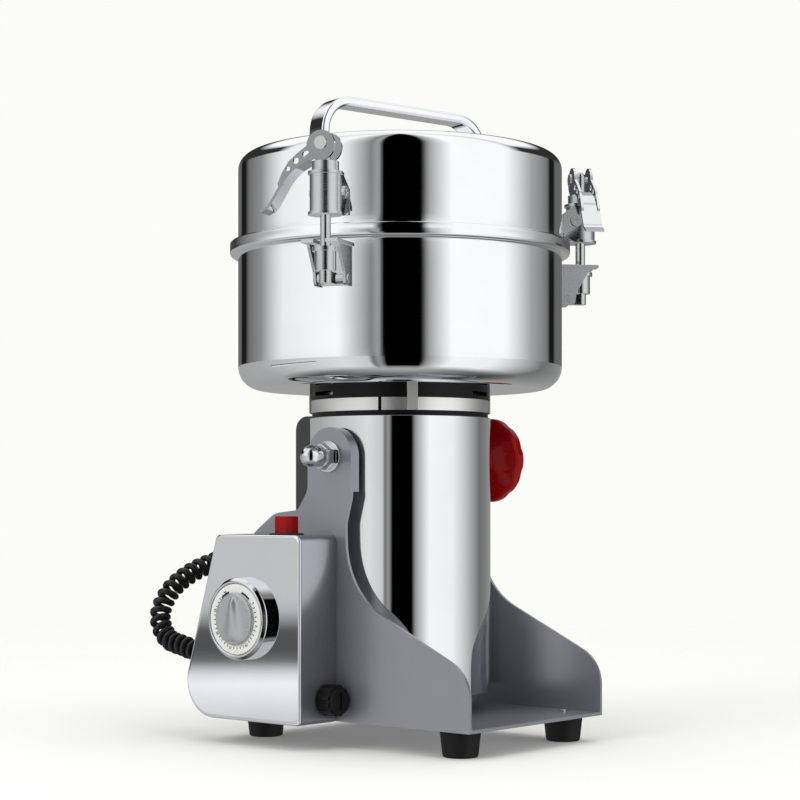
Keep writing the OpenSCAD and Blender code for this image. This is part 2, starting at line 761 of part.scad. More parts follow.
block_l = 9.5;
block_half = 11;
module at_bowl_blocks() {
  for (k = [0:2]) rotate([0, 0, 43 + 120 * k]) translate([tube_r - 16, 0, 0]) children();
}
module at_bowl_screws() { at_bowl_blocks() translate([4.2, 0, 0]) children(); }
module bowl() {
  w = bowl_wall;
  color("#d2d4d6") {
    rotate_extrude() polygon(rounded([
      [seal_r, bowl_low, 0], [bowl_r, bowl_low, bowl_corner], [bowl_r, seat_z, 0.8],
      [band_r, seat_z, 3.4], [band_r, seat_z + band_h, 0.5], [band_r - w, seat_z + band_h, 0.5],
      [band_r - w, seat_z + w, 1.5], [bowl_r - w, seat_z + w, 0.6], [bowl_r - w, bowl_low + w, bowl_corner - w],
      [seal_r, bowl_low + w, 0]
    ], 10));
    difference() {
      at_bowl_blocks() slab(0, block_l, -block_half, block_half, bowl_low - 6.6, bowl_low + 0.7);
      at_bowl_screws() rod_z(2, bowl_low - 7, bowl_low - 1);
    }
  }
}
module bowl_screws() {
  color("#b8b8b8") at_bowl_screws() {
    rod_z(2, bowl_low - 12, bowl_low - 1);
    rod_z(3.4, bowl_low - 12, bowl_low - 9.6);
  }
}
bracket_half = 10;
gusset_t = 1.7;
bracket_pin_r = 1.6;
module latch_brackets() {
  color("#c4c6c8") each_latch() difference() {
    union() {
      slab(bowl_r - 6, bowl_r + 1.5, 0.8 - bracket_half, bracket_half - 0.8, hinge_z - 3.4, plate_top - 1);
      slab(bowl_r - 5.5, rod_at + 9, -bracket_half - 1.3, bracket_half + 1.3, plate_top - bracket_t, plate_top);
      for (y = [-bracket_half, bracket_half - gusset_t]) deep(y, y + gusset_t) polygon(rounded([
        [bowl_r - 5, hinge_z - 4, 0], [hinge_r + 3.4, hinge_z - 4, 2.5], [hinge_r + 4.6, hinge_z + 3.5, 3],
        [rod_at + 3, plate_top - bracket_t - 2, 3], [rod_at + 4.2, plate_top - 0.6, 0], [bowl_r - 5, plate_top - 0.6, 0]
      ]));
    }
    wide_rod_z(bowl_r, hinge_z - 10, plate_top + 10);
    slab(rod_at, rod_at + 20, -rod_d / 2 - 0.6, rod_d / 2 + 0.6, plate_top - 5, plate_top + 5);
    translate([rod_at, 0, 0]) rod_z(rod_d / 2 + 0.6, plate_top - 5, plate_top + 5);
    translate([hinge_r, 0, hinge_z]) rod_y(bracket_pin_r, -bracket_half - 1, bracket_half + 1);
  }
}
module bracket_pins() {
  color("#b0b2b4") each_latch() translate([hinge_r, 0, hinge_z]) {
    rod_y(bracket_pin_r, -bracket_half, bracket_half);
    for (m = [0, 1]) mirror([0, m, 0]) rod_y(2.6, bracket_half, bracket_half + 0.9);
  }
}

// Lid

module lid() {
  w = lid_wall;
  flange = band_r - bowl_wall - slack;
  color("#d6d8da") rotate_extrude() polygon(rounded([
    [0, lid_top, 0], [bowl_r, lid_top, lid_corner], [bowl_r, lid_low + w, 0.6], [flange, lid_low + w, 0.4],
    [flange, lid_low, 0.4], [bowl_r - w, lid_low, 0], [bowl_r - w, lid_top - w, lid_corner - w],
    [0, lid_top - w, 0]
  ], 10));
}
module lid_gasket() {
  color("#e6e6e2") ring(band_r - bowl_wall - 1.6, bowl_r - bowl_wall + 0.6, seat_z + bowl_wall, lid_low);
}
module handle_outline(t) {
  polygon(rounded([
    [-handle_len / 2 + t, lid_top, 0], [-handle_top / 2 + t, lid_top + handle_h - t, handle_bend - t],
    [handle_top / 2 - t, lid_top + handle_h - t, handle_bend - t], [handle_len / 2 - t, lid_top, 0]
  ], 10));
}
module lid_handle() {
  color("#dcdcdc") rotate([0, 0, handle_turn]) deep(-handle_w / 2, handle_w / 2) difference() {
    handle_outline(0);
    handle_outline(handle_t);
    translate([-handle_len, lid_top - 1]) square([2 * handle_len, 1]);
  }
}
lug_out = 7.2;
lug_in = 3.6;
module lid_lugs() {
  touch_r = rod_at - screw_in - screw_r * sin(lug_slope);
  touch_z = screw_z - (screw_r + run) * cos(lug_slope);
  tip = rod_at - 1;
  wall = bowl_r - 4;
  low = sleeve_low + 5.7;
  color("#c4c6c8") each_latch() difference() {
    union() {
      for (m = [0, 1]) mirror([0, m, 0]) deep(lug_in, lug_out) polygon([
        [wall, low], [tip, low], [tip, touch_z - (tip - touch_r) * tan(lug_slope)],
        [wall, touch_z + (touch_r - wall) * tan(lug_slope)]
      ]);
      slab(wall - 1, bowl_r + 1.5, -lug_out - 1.2, lug_out + 1.2, low - 4, screw_z + 4);
    }
    wide_rod_z(bowl_r, low - 20, screw_z + 30);
  }
}

// Latches

module tension_rod(i) {
  knuckle = 3.2;
  color("#d0d2d4") difference() {
    at_rod(i) {
      rod_z(rod_d / 2, hinge_z, pin_z + 2);
      translate([0, 0, pin_z + 2]) sphere(r = rod_d / 2);
      rod_z(cup_d / 2, cup_low, cup_top);
      rod_z(cup_d / 2 + 1.4, cup_top - 2.4, cup_top);
      rod_z(3.6, hinge_z - knuckle, cup_low);
      slab(-pin_in, 0, -3.4, 3.4, hinge_z - knuckle, hinge_z + knuckle);
      translate([-pin_in, 0, hinge_z]) rod_y(knuckle, -bracket_half + gusset_t + 0.2, bracket_half - gusset_t - 0.2);
      translate([0, 0, pin_z]) {
        rod_x(lever_pin_r, -lever_w / 2 - 0.2, lever_w / 2 + 0.2);
        for (m = [0, 1]) mirror([m, 0, 0]) rod_x(3.7, lever_w / 2 + 0.2, lever_w / 2 + 1.5);
      }
    }
    at_rod(i) translate([-pin_in, 0, hinge_z]) rod_y(bracket_pin_r + run, -bracket_half, bracket_half);
  }
}
module sleeve_section() {
  difference() {
    union() {
      circle(r = sleeve_r);
      translate([-sleeve_reach, -sleeve_r]) square([sleeve_reach, 2 * sleeve_r]);
    }
    circle(r = sleeve_r - 1.5);
    translate([-sleeve_reach - 1, -sleeve_r + 1.5]) square([sleeve_reach + 1, 2 * sleeve_r - 3]);
  }
}
sleeve_reach = rod_at - bowl_r - 1.7;
module latch_sleeve(i) {
  color("#ccced0") at_rod(i) difference() {
    union() {
      intersection() {
        translate([0, 0, sleeve_low]) linear_extrude(sleeve_h) sleeve_section();
        deep(-sleeve_r - 1, sleeve_r + 1) polygon([
          [sleeve_r + 1, sleeve_low], [-6, sleeve_low], [-sleeve_reach, sleeve_low + 3.5],
          [-sleeve_reach, screw_z + 4], [-6, sleeve_top - 2], [-6, sleeve_top], [sleeve_r + 1, sleeve_top]
        ]);
      }
      rod_z(sleeve_r, sleeve_low, sleeve_low + 2.8);
      rod_z(sleeve_r + 1, sleeve_low, sleeve_low + 1.6);
      rod_z(sleeve_r, sleeve_top - 3.5, sleeve_top);
      rod_z(sleeve_r + 1, sleeve_top - 1.8, sleeve_top);
      rod_z(sleeve_r - 1.25, sleeve_top, collar_top);
    }
    rod_z(rod_d / 2 + run, sleeve_low - 1, collar_top + 1);
    translate([-screw_in, 0, screw_z]) rod_y(screw_r, -sleeve_r - 1, sleeve_r + 1);
  }
}
module cross_screw(i) {
  color("#b4b6b8") at_rod(i) translate([-screw_in, 0, screw_z]) {
    rod_y(screw_r, -sleeve_r, sleeve_r);
    for (m = [0, 1]) mirror([0, m, 0]) difference() {
      rod_y(3.6, sleeve_r, sleeve_r + 1.9);
      slab(-0.5, 0.5, sleeve_r + 1, sleeve_r + 3, -2.2, 2.2);
      slab(-2.2, 2.2, sleeve_r + 1, sleeve_r + 3, -0.5, 0.5);
    }
  }
}
// The lever in Y and Z from its pin: its side, and the line of the strap under it
lever_side = [
  [-2, 5.5], [-9, -1], [-15, -5], [-20.5, -9.5], [-24.5, -15.5], [-27.2, -21.5],
  [-26.4, -24.2], [-22.8, -18.9], [-18.3, -14.4], [-11.8, -10.6], [-4, -8.6]
];
lever_strap = [
  [-9.2, -9.5], [-13.5, -11.4], [-18.3, -14.4], [-22.8, -18.9], [-26.4, -24.2],
  [-29.7, -29.5], [-33, -34], [-38, -36.8]
];
lever_holes = [[-9.6, -5.8, 2.1], [-15.7, -9.1, 1.8], [-20.7, -13.3, 1.4]];
module cam_lever(i) {
  cheek_t = 1.6;
  color("#d8dadc") at_rod(i) translate([0, 0, pin_z]) {
    for (x = [-lever_w / 2, lever_w / 2 - cheek_t]) across(x, x + cheek_t) difference() {
      union() {
        rotate(-cam_lead) translate([0, -cam_off]) circle(r = cam_r);
        polygon(lever_side);
      }
      circle(r = lever_pin_r + run);
      for (h = lever_holes) translate([h[0], h[1]]) circle(r = h[2]);
    }
    across(-lever_w / 2, lever_w / 2) polygon(ribbon(smooth(lever_strap, 4), 1.5));
  }
}

// The curly lead: a helix round its route, straight for a little at both ends

lead_steps = curls * rings;
lead_ref = unit([1, 1, -1]);
straight = 4;
ramp = 5;
path = smooth(route, 8);
last_of_path = len(path) - 1;
path_at = [for (i = 0, s = 0; i <= last_of_path; s = s + norm(path[min(i + 1, last_of_path)] - path[i]), i = i + 1) s];
path_tables = [for (c = [0:2]) [for (i = [0:last_of_path]) [path_at[i], path[i][c]]]];
lead_len = path_at[last_of_path];
function lead_centre(s) = [for (c = [0:2]) lookup(s, path_tables[c])];
function lead_dir(s) = unit(lead_centre(min(s + 1, lead_len)) - lead_centre(max(s - 1, 0)));
function ease(x) = x * x * (3 - 2 * x);
function curl_size(s) = curl_r * ease(min(1, max(0, (min(s, lead_len - s) - straight) / ramp)));
function curl_phase(t) = 360 * curls * (t - curl_loose * t * (1 - t));
function lead_point(t) =
  let (s = t * lead_len, d = lead_dir(s), u = unit(cross(d, lead_ref)), v = cross(d, u), a = curl_phase(t))
  lead_centre(s) + curl_size(s) * (u * cos(a) + v * sin(a));
lead_line = [for (k = [0:lead_steps]) lead_point(k / lead_steps)];
function tube_point(p, i, k) =
  let (d = unit(p[min(i + 1, len(p) - 1)] - p[max(i - 1, 0)]), u = unit(cross(d, lead_ref)))
  p[i] + wire_d / 2 * (u * cos(k * 360 / wire_sides) + cross(d, u) * sin(k * 360 / wire_sides));
near_turn = rings - 2;
least_gap = min([for (i = [0:lead_steps], j = [i + near_turn:1:min(i + 3 * rings, lead_steps)])
  norm(lead_line[i] - lead_line[j])]) - wire_d;
echo(least_gap_of_the_lead_to_itself = least_gap);
module curly_lead() {
  last = len(lead_line) - 1;
  n = wire_sides;
  pts = [for (i = [0:last], k = [0:n - 1]) tube_point(lead_line, i, k)];
  sides = [for (i = [0:last - 1], k = [0:n - 1])
    let (a = i * n + k, b = i * n + (k + 1) % n) each [[a, b, b + n], [a, b + n, a + n]]];
  ends = [for (k = [1:n - 2]) each [[0, k + 1, k], [last * n, last * n + k, last * n + k + 1]]];
  color("#141414") polyhedron(points = pts, faces = concat(sides, ends));
}

base_frame();
rubber_feet();
foot_screws();
pivot_bushes();
pivot_washer();
control_box();
box_face_cover();
timer_body();
timer_bezel();
dial_ring();
timer_knob();
button_housing();
power_button();
fuse_holder();
fuse_cap();
box_glands();
curly_lead();
motor_tube();
bottom_cap();
terminal_cover();
cover_screws();
motor_gland();
pivot_stud();
acorn_nut();
clamp_boss();
clamp_screw();
clamp_knob();
end_frame();
neck_ring();
stator_core();
field_coils();
bearings();
brush_holders();
shaft_seal();
motor_shaft();
armature();
commutator();
cooling_fan();
blades();
blade_nut();
bowl();
bowl_screws();
latch_brackets();
bracket_pins();
lid();
lid_gasket();
lid_handle();
lid_lugs();
tension_rod(1);  // tension_rod_1
latch_sleeve(1);  // latch_sleeve_1
cross_screw(1);  // cross_screw_1
cam_lever(1);  // cam_lever_1
tension_rod(2);  // tension_rod_2
latch_sleeve(2);  // latch_sleeve_2
cross_screw(2);  // cross_screw_2
cam_lever(2);  // cam_lever_2
tension_rod(3);  // tension_rod_3
latch_sleeve(3);  // latch_sleeve_3
cross_screw(3);  // cross_screw_3
cam_lever(3);  // cam_lever_3
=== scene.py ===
"""Dressed model of a bench spice grinder: tilting motor head, clamp-down lid, timer box and curly lead."""

import json
import logging
import math
from dataclasses import dataclass, field
from enum import Enum
from typing import Sequence

import bmesh
import bpy
import numpy as np
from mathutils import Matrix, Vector


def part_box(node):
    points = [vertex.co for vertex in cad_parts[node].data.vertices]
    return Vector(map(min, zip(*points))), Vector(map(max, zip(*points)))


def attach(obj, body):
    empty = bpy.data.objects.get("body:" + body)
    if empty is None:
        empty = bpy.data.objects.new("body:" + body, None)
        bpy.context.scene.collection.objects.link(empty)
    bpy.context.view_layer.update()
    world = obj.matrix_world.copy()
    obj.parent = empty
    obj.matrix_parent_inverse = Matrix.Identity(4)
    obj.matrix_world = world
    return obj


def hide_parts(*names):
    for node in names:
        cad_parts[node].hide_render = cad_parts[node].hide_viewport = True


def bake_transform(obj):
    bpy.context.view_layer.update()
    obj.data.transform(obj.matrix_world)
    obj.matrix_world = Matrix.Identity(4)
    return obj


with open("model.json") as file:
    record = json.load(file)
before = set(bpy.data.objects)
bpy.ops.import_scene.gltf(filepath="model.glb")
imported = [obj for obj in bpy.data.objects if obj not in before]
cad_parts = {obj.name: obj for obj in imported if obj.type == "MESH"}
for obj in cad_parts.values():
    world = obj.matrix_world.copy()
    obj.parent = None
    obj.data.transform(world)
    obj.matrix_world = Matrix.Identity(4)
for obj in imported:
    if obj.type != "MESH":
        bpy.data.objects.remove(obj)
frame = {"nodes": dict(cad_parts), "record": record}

MM = 0.001
# points nearer than this, in metres, are one point
JOIN = 2e-6
log = logging.getLogger("grinder")
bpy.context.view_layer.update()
BODY_OF = {node: body for body, nodes in frame["record"]["behaviour"]["bodies"].items() for node in nodes}
SLOT_OF = {s["node"]: s["material_slot"] for s in frame["record"]["subparts"]}

Points = np.ndarray
Piece = bpy.types.Object
Socket = bpy.types.NodeSocket


class Axis(Enum):
    """An axis, such as the one that a turned or pressed piece is made along."""

    X = 0
    Y = 1
    Z = 2


# Sizes from the frame


def least(node: str, axis: Axis) -> float:
    """Where a CAD node begins along an axis, in mm."""
    return round(float(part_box(node)[0][axis.value]) / MM, 3)


def most(node: str, axis: Axis) -> float:
    """Where a CAD node ends along an axis, in mm."""
    return round(float(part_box(node)[1][axis.value]) / MM, 3)


def halfway(node: str, axis: Axis) -> float:
    """A CAD node's middle along an axis, in mm."""
    return (least(node, axis) + most(node, axis)) / 2


def half_width(node: str, axis: Axis) -> float:
    """Half of a CAD node's size along an axis, in mm."""
    return (most(node, axis) - least(node, axis)) / 2


# Shapes


def unit(v: Points) -> Points:
    """The same directions at length 1, along the last axis."""
    return v / np.linalg.norm(v, axis=-1, keepdims=True)


def fillet(corners: Sequence[tuple], steps: int = 8, closed: bool = True) -> Points:
    """An outline whose corners are arcs: each centre lies on its bisector, radius / sin(half angle) away.

    Args:
        corners: (a, b, radius) of each corner in mm; radius 0 keeps it sharp.
        steps: pieces that an arc is cut into.
        closed: whether the last corner joins the first.

    Returns:
        The outline's points, one row each.
    """
    flat = np.array([c[:2] for c in corners], float)
    out = []
    for i, corner in enumerate(corners):
        b = flat[i]
        if corner[2] <= 0 or (not closed and i in (0, len(corners) - 1)):
            out.append(b[None])
            continue
        u, v = unit(flat[i - 1] - b), unit(flat[(i + 1) % len(flat)] - b)
        half = math.acos(float(u @ v)) / 2
        mid = b + unit(u + v) * corner[2] / math.sin(half)
        p, q = b + u * corner[2] / math.tan(half) - mid, b + v * corner[2] / math.tan(half) - mid
        turn = np.linspace(0, math.atan2(p[0] * q[1] - p[1] * q[0], float(p @ q)), steps + 1)
        cos, sin = np.cos(turn), np.sin(turn)
        out.append(mid + np.stack([p[0] * cos - p[1] * sin, p[0] * sin + p[1] * cos], 1))
    return np.concatenate(out)


def placed(a: Points, b: Points, h: Points, axis: Axis) -> Points:
    """Points from a height along X, Y or Z and two cross coordinates, (y, z), (x, z) or (x, y)."""
    order = {Axis.X: (h, a, b), Axis.Y: (a, h, b), Axis.Z: (a, b, h)}[axis]
    return np.stack(np.broadcast_arrays(*order), -1)


def turned(
    profile: Points, axis: Axis = Axis.Z, sides: int = 192, centre: Sequence[float] = (0, 0, 0)
) -> Points:
    """A profile of (radius, height) carried round an axis: each row is the circle of its radius and height.

    Args:
        profile: (radius, height) rows in mm.
        axis: the axis that it is made along.
        sides: points round each circle.
        centre: a point on the axis, in mm.

    Returns:
        Points in mm, rows by sides by 3.
    """
    angle = np.linspace(0, 2 * np.pi, sides, endpoint=False)
    r, h = profile[:, :1], profile[:, 1:2]
    return placed(r * np.cos(angle), r * np.sin(angle), h, axis) + np.array(centre, float)


def swept(path: Points, section: Points, up: Points) -> Points:
    """A flat section carried along a path: its first axis lies across path and up, its second across both.

    Args:
        path: points in mm, one row each.
        section: (across, up) rows in mm.
        up: a direction that the path never runs along.

    Returns:
        Points in mm, one row for each point of the path.
    """
    along = unit(np.gradient(path, axis=0))
    side = unit(np.cross(along, up))
    other = np.cross(side, along)
    return path[:, None] + section[None, :, :1] * side[:, None] + section[None, :, 1:] * other[:, None]


def circle(radius: float, sides: int) -> Points:
    """A round section of that radius."""
    a = np.linspace(0, 2 * np.pi, sides, endpoint=False)
    return radius * np.stack([np.cos(a), np.sin(a)], 1)


def round_bar(width: float, depth: float, radius: float) -> Points:
    """A section of that width and depth with rounded edges."""
    w, d = width / 2, depth / 2
    return fillet([(-w, -d, radius), (w, -d, radius), (w, d, radius), (-w, d, radius)], 5)


def grid_faces(rows: int, cols: int, close_rows: bool, close_cols: bool) -> list:
    """Quads between the neighbours of a grid, as lists of point numbers.

    Args:
        rows: rows of the grid.
        cols: columns of the grid.
        close_rows: whether the last row joins the first.
        close_cols: whether the last column joins the first.

    Returns:
        The quads.
    """
    i, j = np.meshgrid(np.arange(rows - (not close_rows)), np.arange(cols - (not close_cols)), indexing="ij")
    i2, j2 = (i + 1) % rows, (j + 1) % cols
    return np.stack([i * cols + j, i * cols + j2, i2 * cols + j2, i2 * cols + j], -1).reshape(-1, 4).tolist()


def soften(mesh: bpy.types.Mesh, angle: float, outward: bool = True) -> None:
    """Joins doubled points, turns the faces outward and shades smooth up to an angle between faces.

    Args:
        mesh: the mesh, which is changed in place.
        angle: faces that meet at more degrees than this keep a sharp edge.
        outward: whether its faces are turned outward.
    """
    bm = bmesh.new()
    bm.from_mesh(mesh)
    bmesh.ops.remove_doubles(bm, verts=bm.verts, dist=JOIN)
    if outward:
        bmesh.ops.recalc_face_normals(bm, faces=bm.faces)
    for edge in bm.edges:
        edge.smooth = edge.calc_face_angle(0) < math.radians(angle)
    for face in bm.faces:
        face.smooth = True
    bm.to_mesh(mesh)
    bm.free()


def piece(name: str, points: Points, faces: list, angle: float = 35) -> Piece:
    """A new piece from points in mm and faces, at the origin with its place in its mesh.

    Args:
        name: the piece's name.
        points: its points in mm.
        faces: its faces, as lists of point numbers.
        angle: faces that meet at more degrees than this keep a sharp edge.

    Returns:
        The new piece.
    """
    mesh = bpy.data.meshes.new(name)
    mesh.from_pydata((np.asarray(points, float).reshape(-1, 3) * MM).tolist(), [], faces)
    soften(mesh, angle)
    made = bpy.data.objects.new(name, mesh)
    bpy.context.scene.collection.objects.link(made)
    return made


def skin(name: str, grid: Points, close_rows: bool = False, capped: bool = False, angle: float = 35) -> Piece:
    """A piece from a grid that closes round its columns.

    Args:
        name: the piece's name.
        grid: points in mm, rows by columns by 3.
        close_rows: whether the last row joins the first, as in a ring.
        capped: whether the first and last rows are filled.
        angle: faces that meet at more degrees than this keep a sharp edge.

    Returns:
        The new piece.
    """
    rows, cols = grid.shape[:2]
    faces = grid_faces(rows, cols, close_rows, True)
    if capped:
        faces += [list(range(cols))[::-1], list(range((rows - 1) * cols, rows * cols))]
    made = piece(name, grid, faces, angle)
    made.modifiers.new("normals", "WEIGHTED_NORMAL").keep_sharp = True
    return made


def pressed(name: str, outline: Points, low: float, high: float, axis: Axis) -> Piece:
    """A flat outline made thick along an axis, from low to high."""
    both = np.stack([placed(outline[:, 0], outline[:, 1], np.array(h), axis) for h in (low, high)])
    return skin(name, both, capped=True)


def bevel(made: Piece, width: float, segments: int = 3) -> Piece:
    """Rounds a piece's sharp edges by a width in mm.

    Args:
        made: the piece.
        width: how wide the rounding is, in mm.
        segments: steps across the rounding.

    Returns:
        The piece.
    """
    cut = made.modifiers.new("edges", "BEVEL")
    cut.width = width * MM
    cut.segments = segments
    cut.limit_method = "ANGLE"
    cut.angle_limit = math.radians(32)
    cut.harden_normals = True
    return made


# Finishes


def srgb(code: str) -> tuple:
    """A hex sRGB colour as linear red, green, blue and alpha."""
    parts = [int(code[i : i + 2], 16) / 255 for i in (1, 3, 5)]
    return tuple(c / 12.92 if c <= 0.04045 else ((c + 0.055) / 1.055) ** 2.4 for c in parts) + (1.0,)


def add(
    tree: bpy.types.NodeTree, kind: str, settings: dict | None = None, links: dict | None = None
) -> bpy.types.Node:
    """Adds a node, sets its attributes or unlinked sockets, and links sockets to outputs.

    Args:
        tree: the node tree.
        kind: the node's type.
        settings: socket name or attribute to value.
        links: socket name to the output that feeds it.

    Returns:
        The new node.
    """
    node = tree.nodes.new(kind)
    for key, value in (settings or {}).items():
        if isinstance(key, int) or key in node.inputs:
            node.inputs[key].default_value = value
        else:
            setattr(node, key, value)
    for key, output in (links or {}).items():
        tree.links.new(output, node.inputs[key])
    return node


def ramp(tree: bpy.types.NodeTree, source: Socket, stops: Sequence[tuple]) -> bpy.types.Node:
    """A colour ramp fed by source, with (place, colour) stops.

    Args:
        tree: the node tree.
        source: the output that feeds it.
        stops: (place, colour) pairs in order.

    Returns:
        The ramp node.
    """
    node = add(tree, "ShaderNodeValToRGB", links={"Fac": source})
    band = node.color_ramp
    band.elements[0].position, band.elements[0].color = stops[0]
    band.elements[1].position, band.elements[1].color = stops[-1]
    for place, colour in stops[1:-1]:
        band.elements.new(place).color = colour
    return node


# the size in mm of the patches in which a finish's colour drifts, 28 to the metre
PATCH_MM = 1000 / 28


@dataclass(frozen=True)
class Finish:
    """A surface finish: its colour, gloss and fine texture, at real sizes."""

    name: str
    colour: str
    metallic: float = 0.0
    # the mean roughness, and how far the grain varies it
    roughness: float = 0.5
    spread: float = 0.06
    # the grain's size in mm, its stretch by axis and depth in mm, and how far the colour drifts
    grain_mm: float = 1.0
    stretch: tuple = (1.0, 1.0, 1.0)
    depth_mm: float = 0.01
    tint: float = 0.06
    # the clear coat's weight and roughness
    coat: float = 0.0
    coat_roughness: float = 0.08
    specular: float = 0.5
    subsurface: float = 0.0

    def make(self) -> bpy.types.Material:
        """Builds the material: noise of the grain's size varies colour, roughness and height.

        Returns:
            The material.
        """
        material = bpy.data.materials.new(self.name)
        material.use_nodes = True
        tree = material.node_tree
        shader = tree.nodes["Principled BSDF"]
        place = add(tree, "ShaderNodeTexCoord")
        scale = tuple(s / (self.grain_mm * MM) for s in self.stretch)
        mapped = add(tree, "ShaderNodeMapping", {"Scale": scale}, {"Vector": place.outputs["Object"]})
        grain = {"Scale": 1.0, "Detail": 4.0, "Roughness": 0.6}
        fine = add(tree, "ShaderNodeTexNoise", grain, {"Vector": mapped.outputs[0]})
        patches = {"Scale": 1 / (PATCH_MM * MM), "Detail": 3.0}
        broad = add(tree, "ShaderNodeTexNoise", patches, {"Vector": place.outputs["Object"]})
        colour = srgb(self.colour)
        dark = tuple(c * (1 - self.tint) for c in colour[:3]) + (1.0,)
        light = tuple(min(1.0, c * (1 + self.tint)) for c in colour[:3]) + (1.0,)
        tone = ramp(tree, broad.outputs["Fac"], [(0.3, dark), (0.7, light)])
        tree.links.new(tone.outputs["Color"], shader.inputs["Base Color"])
        low, high = max(0.02, self.roughness - self.spread), self.roughness + self.spread
        limits = {"From Min": 0.25, "From Max": 0.75, "To Min": low, "To Max": high}
        rough = add(tree, "ShaderNodeMapRange", limits, {"Value": fine.outputs["Fac"]})
        tree.links.new(rough.outputs["Result"], shader.inputs["Roughness"])
        relief = {"Strength": 1.0, "Distance": self.depth_mm * MM}
        bump = add(tree, "ShaderNodeBump", relief, {"Height": fine.outputs["Fac"]})
        tree.links.new(bump.outputs["Normal"], shader.inputs["Normal"])
        shader.inputs["Metallic"].default_value = self.metallic
        shader.inputs["Coat Weight"].default_value = self.coat
        shader.inputs["Coat Roughness"].default_value = self.coat_roughness
        if self.metallic < 1:
            shader.inputs["Specular IOR Level"].default_value = self.specular
            shader.inputs["Subsurface Weight"].default_value = self.subsurface
            shader.inputs["Subsurface Scale"].default_value = 2 * MM
        return material


# Each finish is named for what the real surface is; the comment says what that gives the eye.
FINISHES = {
    # stainless sheet, buffed to a mirror: sharp reflections with a trace of the buffing wheel
    "polished_steel": Finish(
        "buffed_stainless", "#EEEFF1", 1.0, 0.04, 0.01, 0.9, (0.05, 0.05, 1.0), 0.0006, 0.02
    ),
    # stainless sheet, belt-brushed: reflections drawn out across fine lines
    "brushed_steel": Finish(
        "brushed_stainless", "#C6C8CA", 1.0, 0.24, 0.06, 0.35, (0.06, 0.06, 1.0), 0.002, 0.05
    ),
    # bright chrome plating over pressed steel
    "chrome": Finish("chrome_plating", "#DFE0E2", 1.0, 0.07, 0.02, 1.5, (1, 1, 1), 0.001, 0.02),
    # zinc-plated turned steel: small tool marks round the piece
    "machined_steel": Finish(
        "zinc_plated_steel", "#C2C3C4", 1.0, 0.2, 0.05, 0.25, (0.3, 0.3, 1.0), 0.002, 0.06
    ),
    # satin die-cast aluminium
    "cast_aluminium": Finish("satin_aluminium", "#C3C4C6", 0.8, 0.4, 0.05, 0.5, (1, 1, 1), 0.004, 0.04),
    # silver-grey metallic lacquer on sheet steel: satin, with a faint peel
    "grey_enamel": Finish(
        "silver_lacquer", "#9E9FA7", 0.6, 0.34, 0.03, 1.2, (1, 1, 1), 0.002, 0.02, 0.35, 0.18
    ),
    "box_enamel": Finish(
        "silver_lacquer_box", "#7E7F86", 0.6, 0.26, 0.02, 1.2, (1, 1, 1), 0.0012, 0.02, 0.3, 0.14
    ),
    # black lacquered casting
    "black_metal": Finish(
        "black_lacquer", "#070708", 0.0, 0.4, 0.06, 0.6, (1, 1, 1), 0.006, 0.15, 0.0, 0.1, 0.25
    ),
    # varnished steel laminations
    "core_steel": Finish(
        "varnished_laminations", "#55575B", 0.8, 0.42, 0.08, 0.5, (0.05, 0.05, 1.0), 0.02, 0.08
    ),
    # enamelled copper windings
    "copper": Finish("enamelled_copper", "#A4562A", 1.0, 0.3, 0.08, 0.8, (0.2, 0.2, 1.0), 0.05, 0.12),
    # moulded rubber: dull, fine-grained
    "rubber": Finish(
        "moulded_rubber", "#0B0B0B", 0.0, 0.62, 0.08, 0.5, (1, 1, 1), 0.012, 0.2, 0.0, 0.1, 0.35
    ),
    # spark-eroded black ABS
    "black_plastic": Finish(
        "grained_black_abs", "#0B0B0C", 0.0, 0.42, 0.08, 0.35, (1, 1, 1), 0.01, 0.15, 0.0, 0.1, 0.4
    ),
    # white acetal
    "white_plastic": Finish("white_acetal", "#ECECEA", 0.0, 0.38, 0.05, 0.6, (1, 1, 1), 0.003, 0.02),
    # glossy phenolic moulding
    "red_plastic": Finish(
        "red_phenolic", "#980005", 0.0, 0.24, 0.05, 1.2, (1, 1, 1), 0.004, 0.1, 0.15, 0.06, 0.1, 0.02
    ),
    # moulded silicone
    "silicone": Finish(
        "silicone", "#DAD9D3", 0.0, 0.5, 0.06, 0.8, (1, 1, 1), 0.006, 0.03, 0.0, 0.1, 0.5, 0.1
    ),
    # extruded PVC jacket, a little waxy
    "lead_jacket": Finish("pvc_jacket", "#101011", 0.0, 0.36, 0.07, 0.7, (1, 1, 1), 0.006, 0.2),
}
# printed ink and the rubber seam between cover and shell, which the record has no slot for
INK = Finish("black_ink", "#101010", 0.0, 0.5, 0.05, 0.4, (1, 1, 1), 0.001, 0.05)
# variants of a slot's finish on single pieces: the neck ring's plated steel made lighter, a painted light
# over the shade it sits in;
# the terminal cover's silver lacquer made darker, a painted shade; a lever's brushed strip and the dial's
# white enamel
# lighter than the neck ring's plated steel: painted light over the shade that the ring sits in
ZINC_PAINTED_LIGHT = Finish("zinc_painted_light", "#F2F2F0", 1.0, 0.36, 0.04, 0.25, (0.3, 0.3, 1.0), 0.001, 0.04)
# darker than the terminal cover's own silver lacquer: painted shade
SHADED_LACQUER = Finish(
    "silver_lacquer_painted_shade", "#424244", 0.5, 0.34, 0.03, 1.2, (1, 1, 1), 0.002, 0.03, 0.2, 0.18
)
DULL_STEEL = Finish("brushed_lever_strip", "#96989A", 1.0, 0.26, 0.06, 0.3, (1.0, 1.0, 0.08), 0.003, 0.06)
DIAL_WHITE = Finish("white_enamel", "#F2F2F0", 0.0, 0.22, 0.03, 0.8, (1, 1, 1), 0.001, 0.01, 0.4)


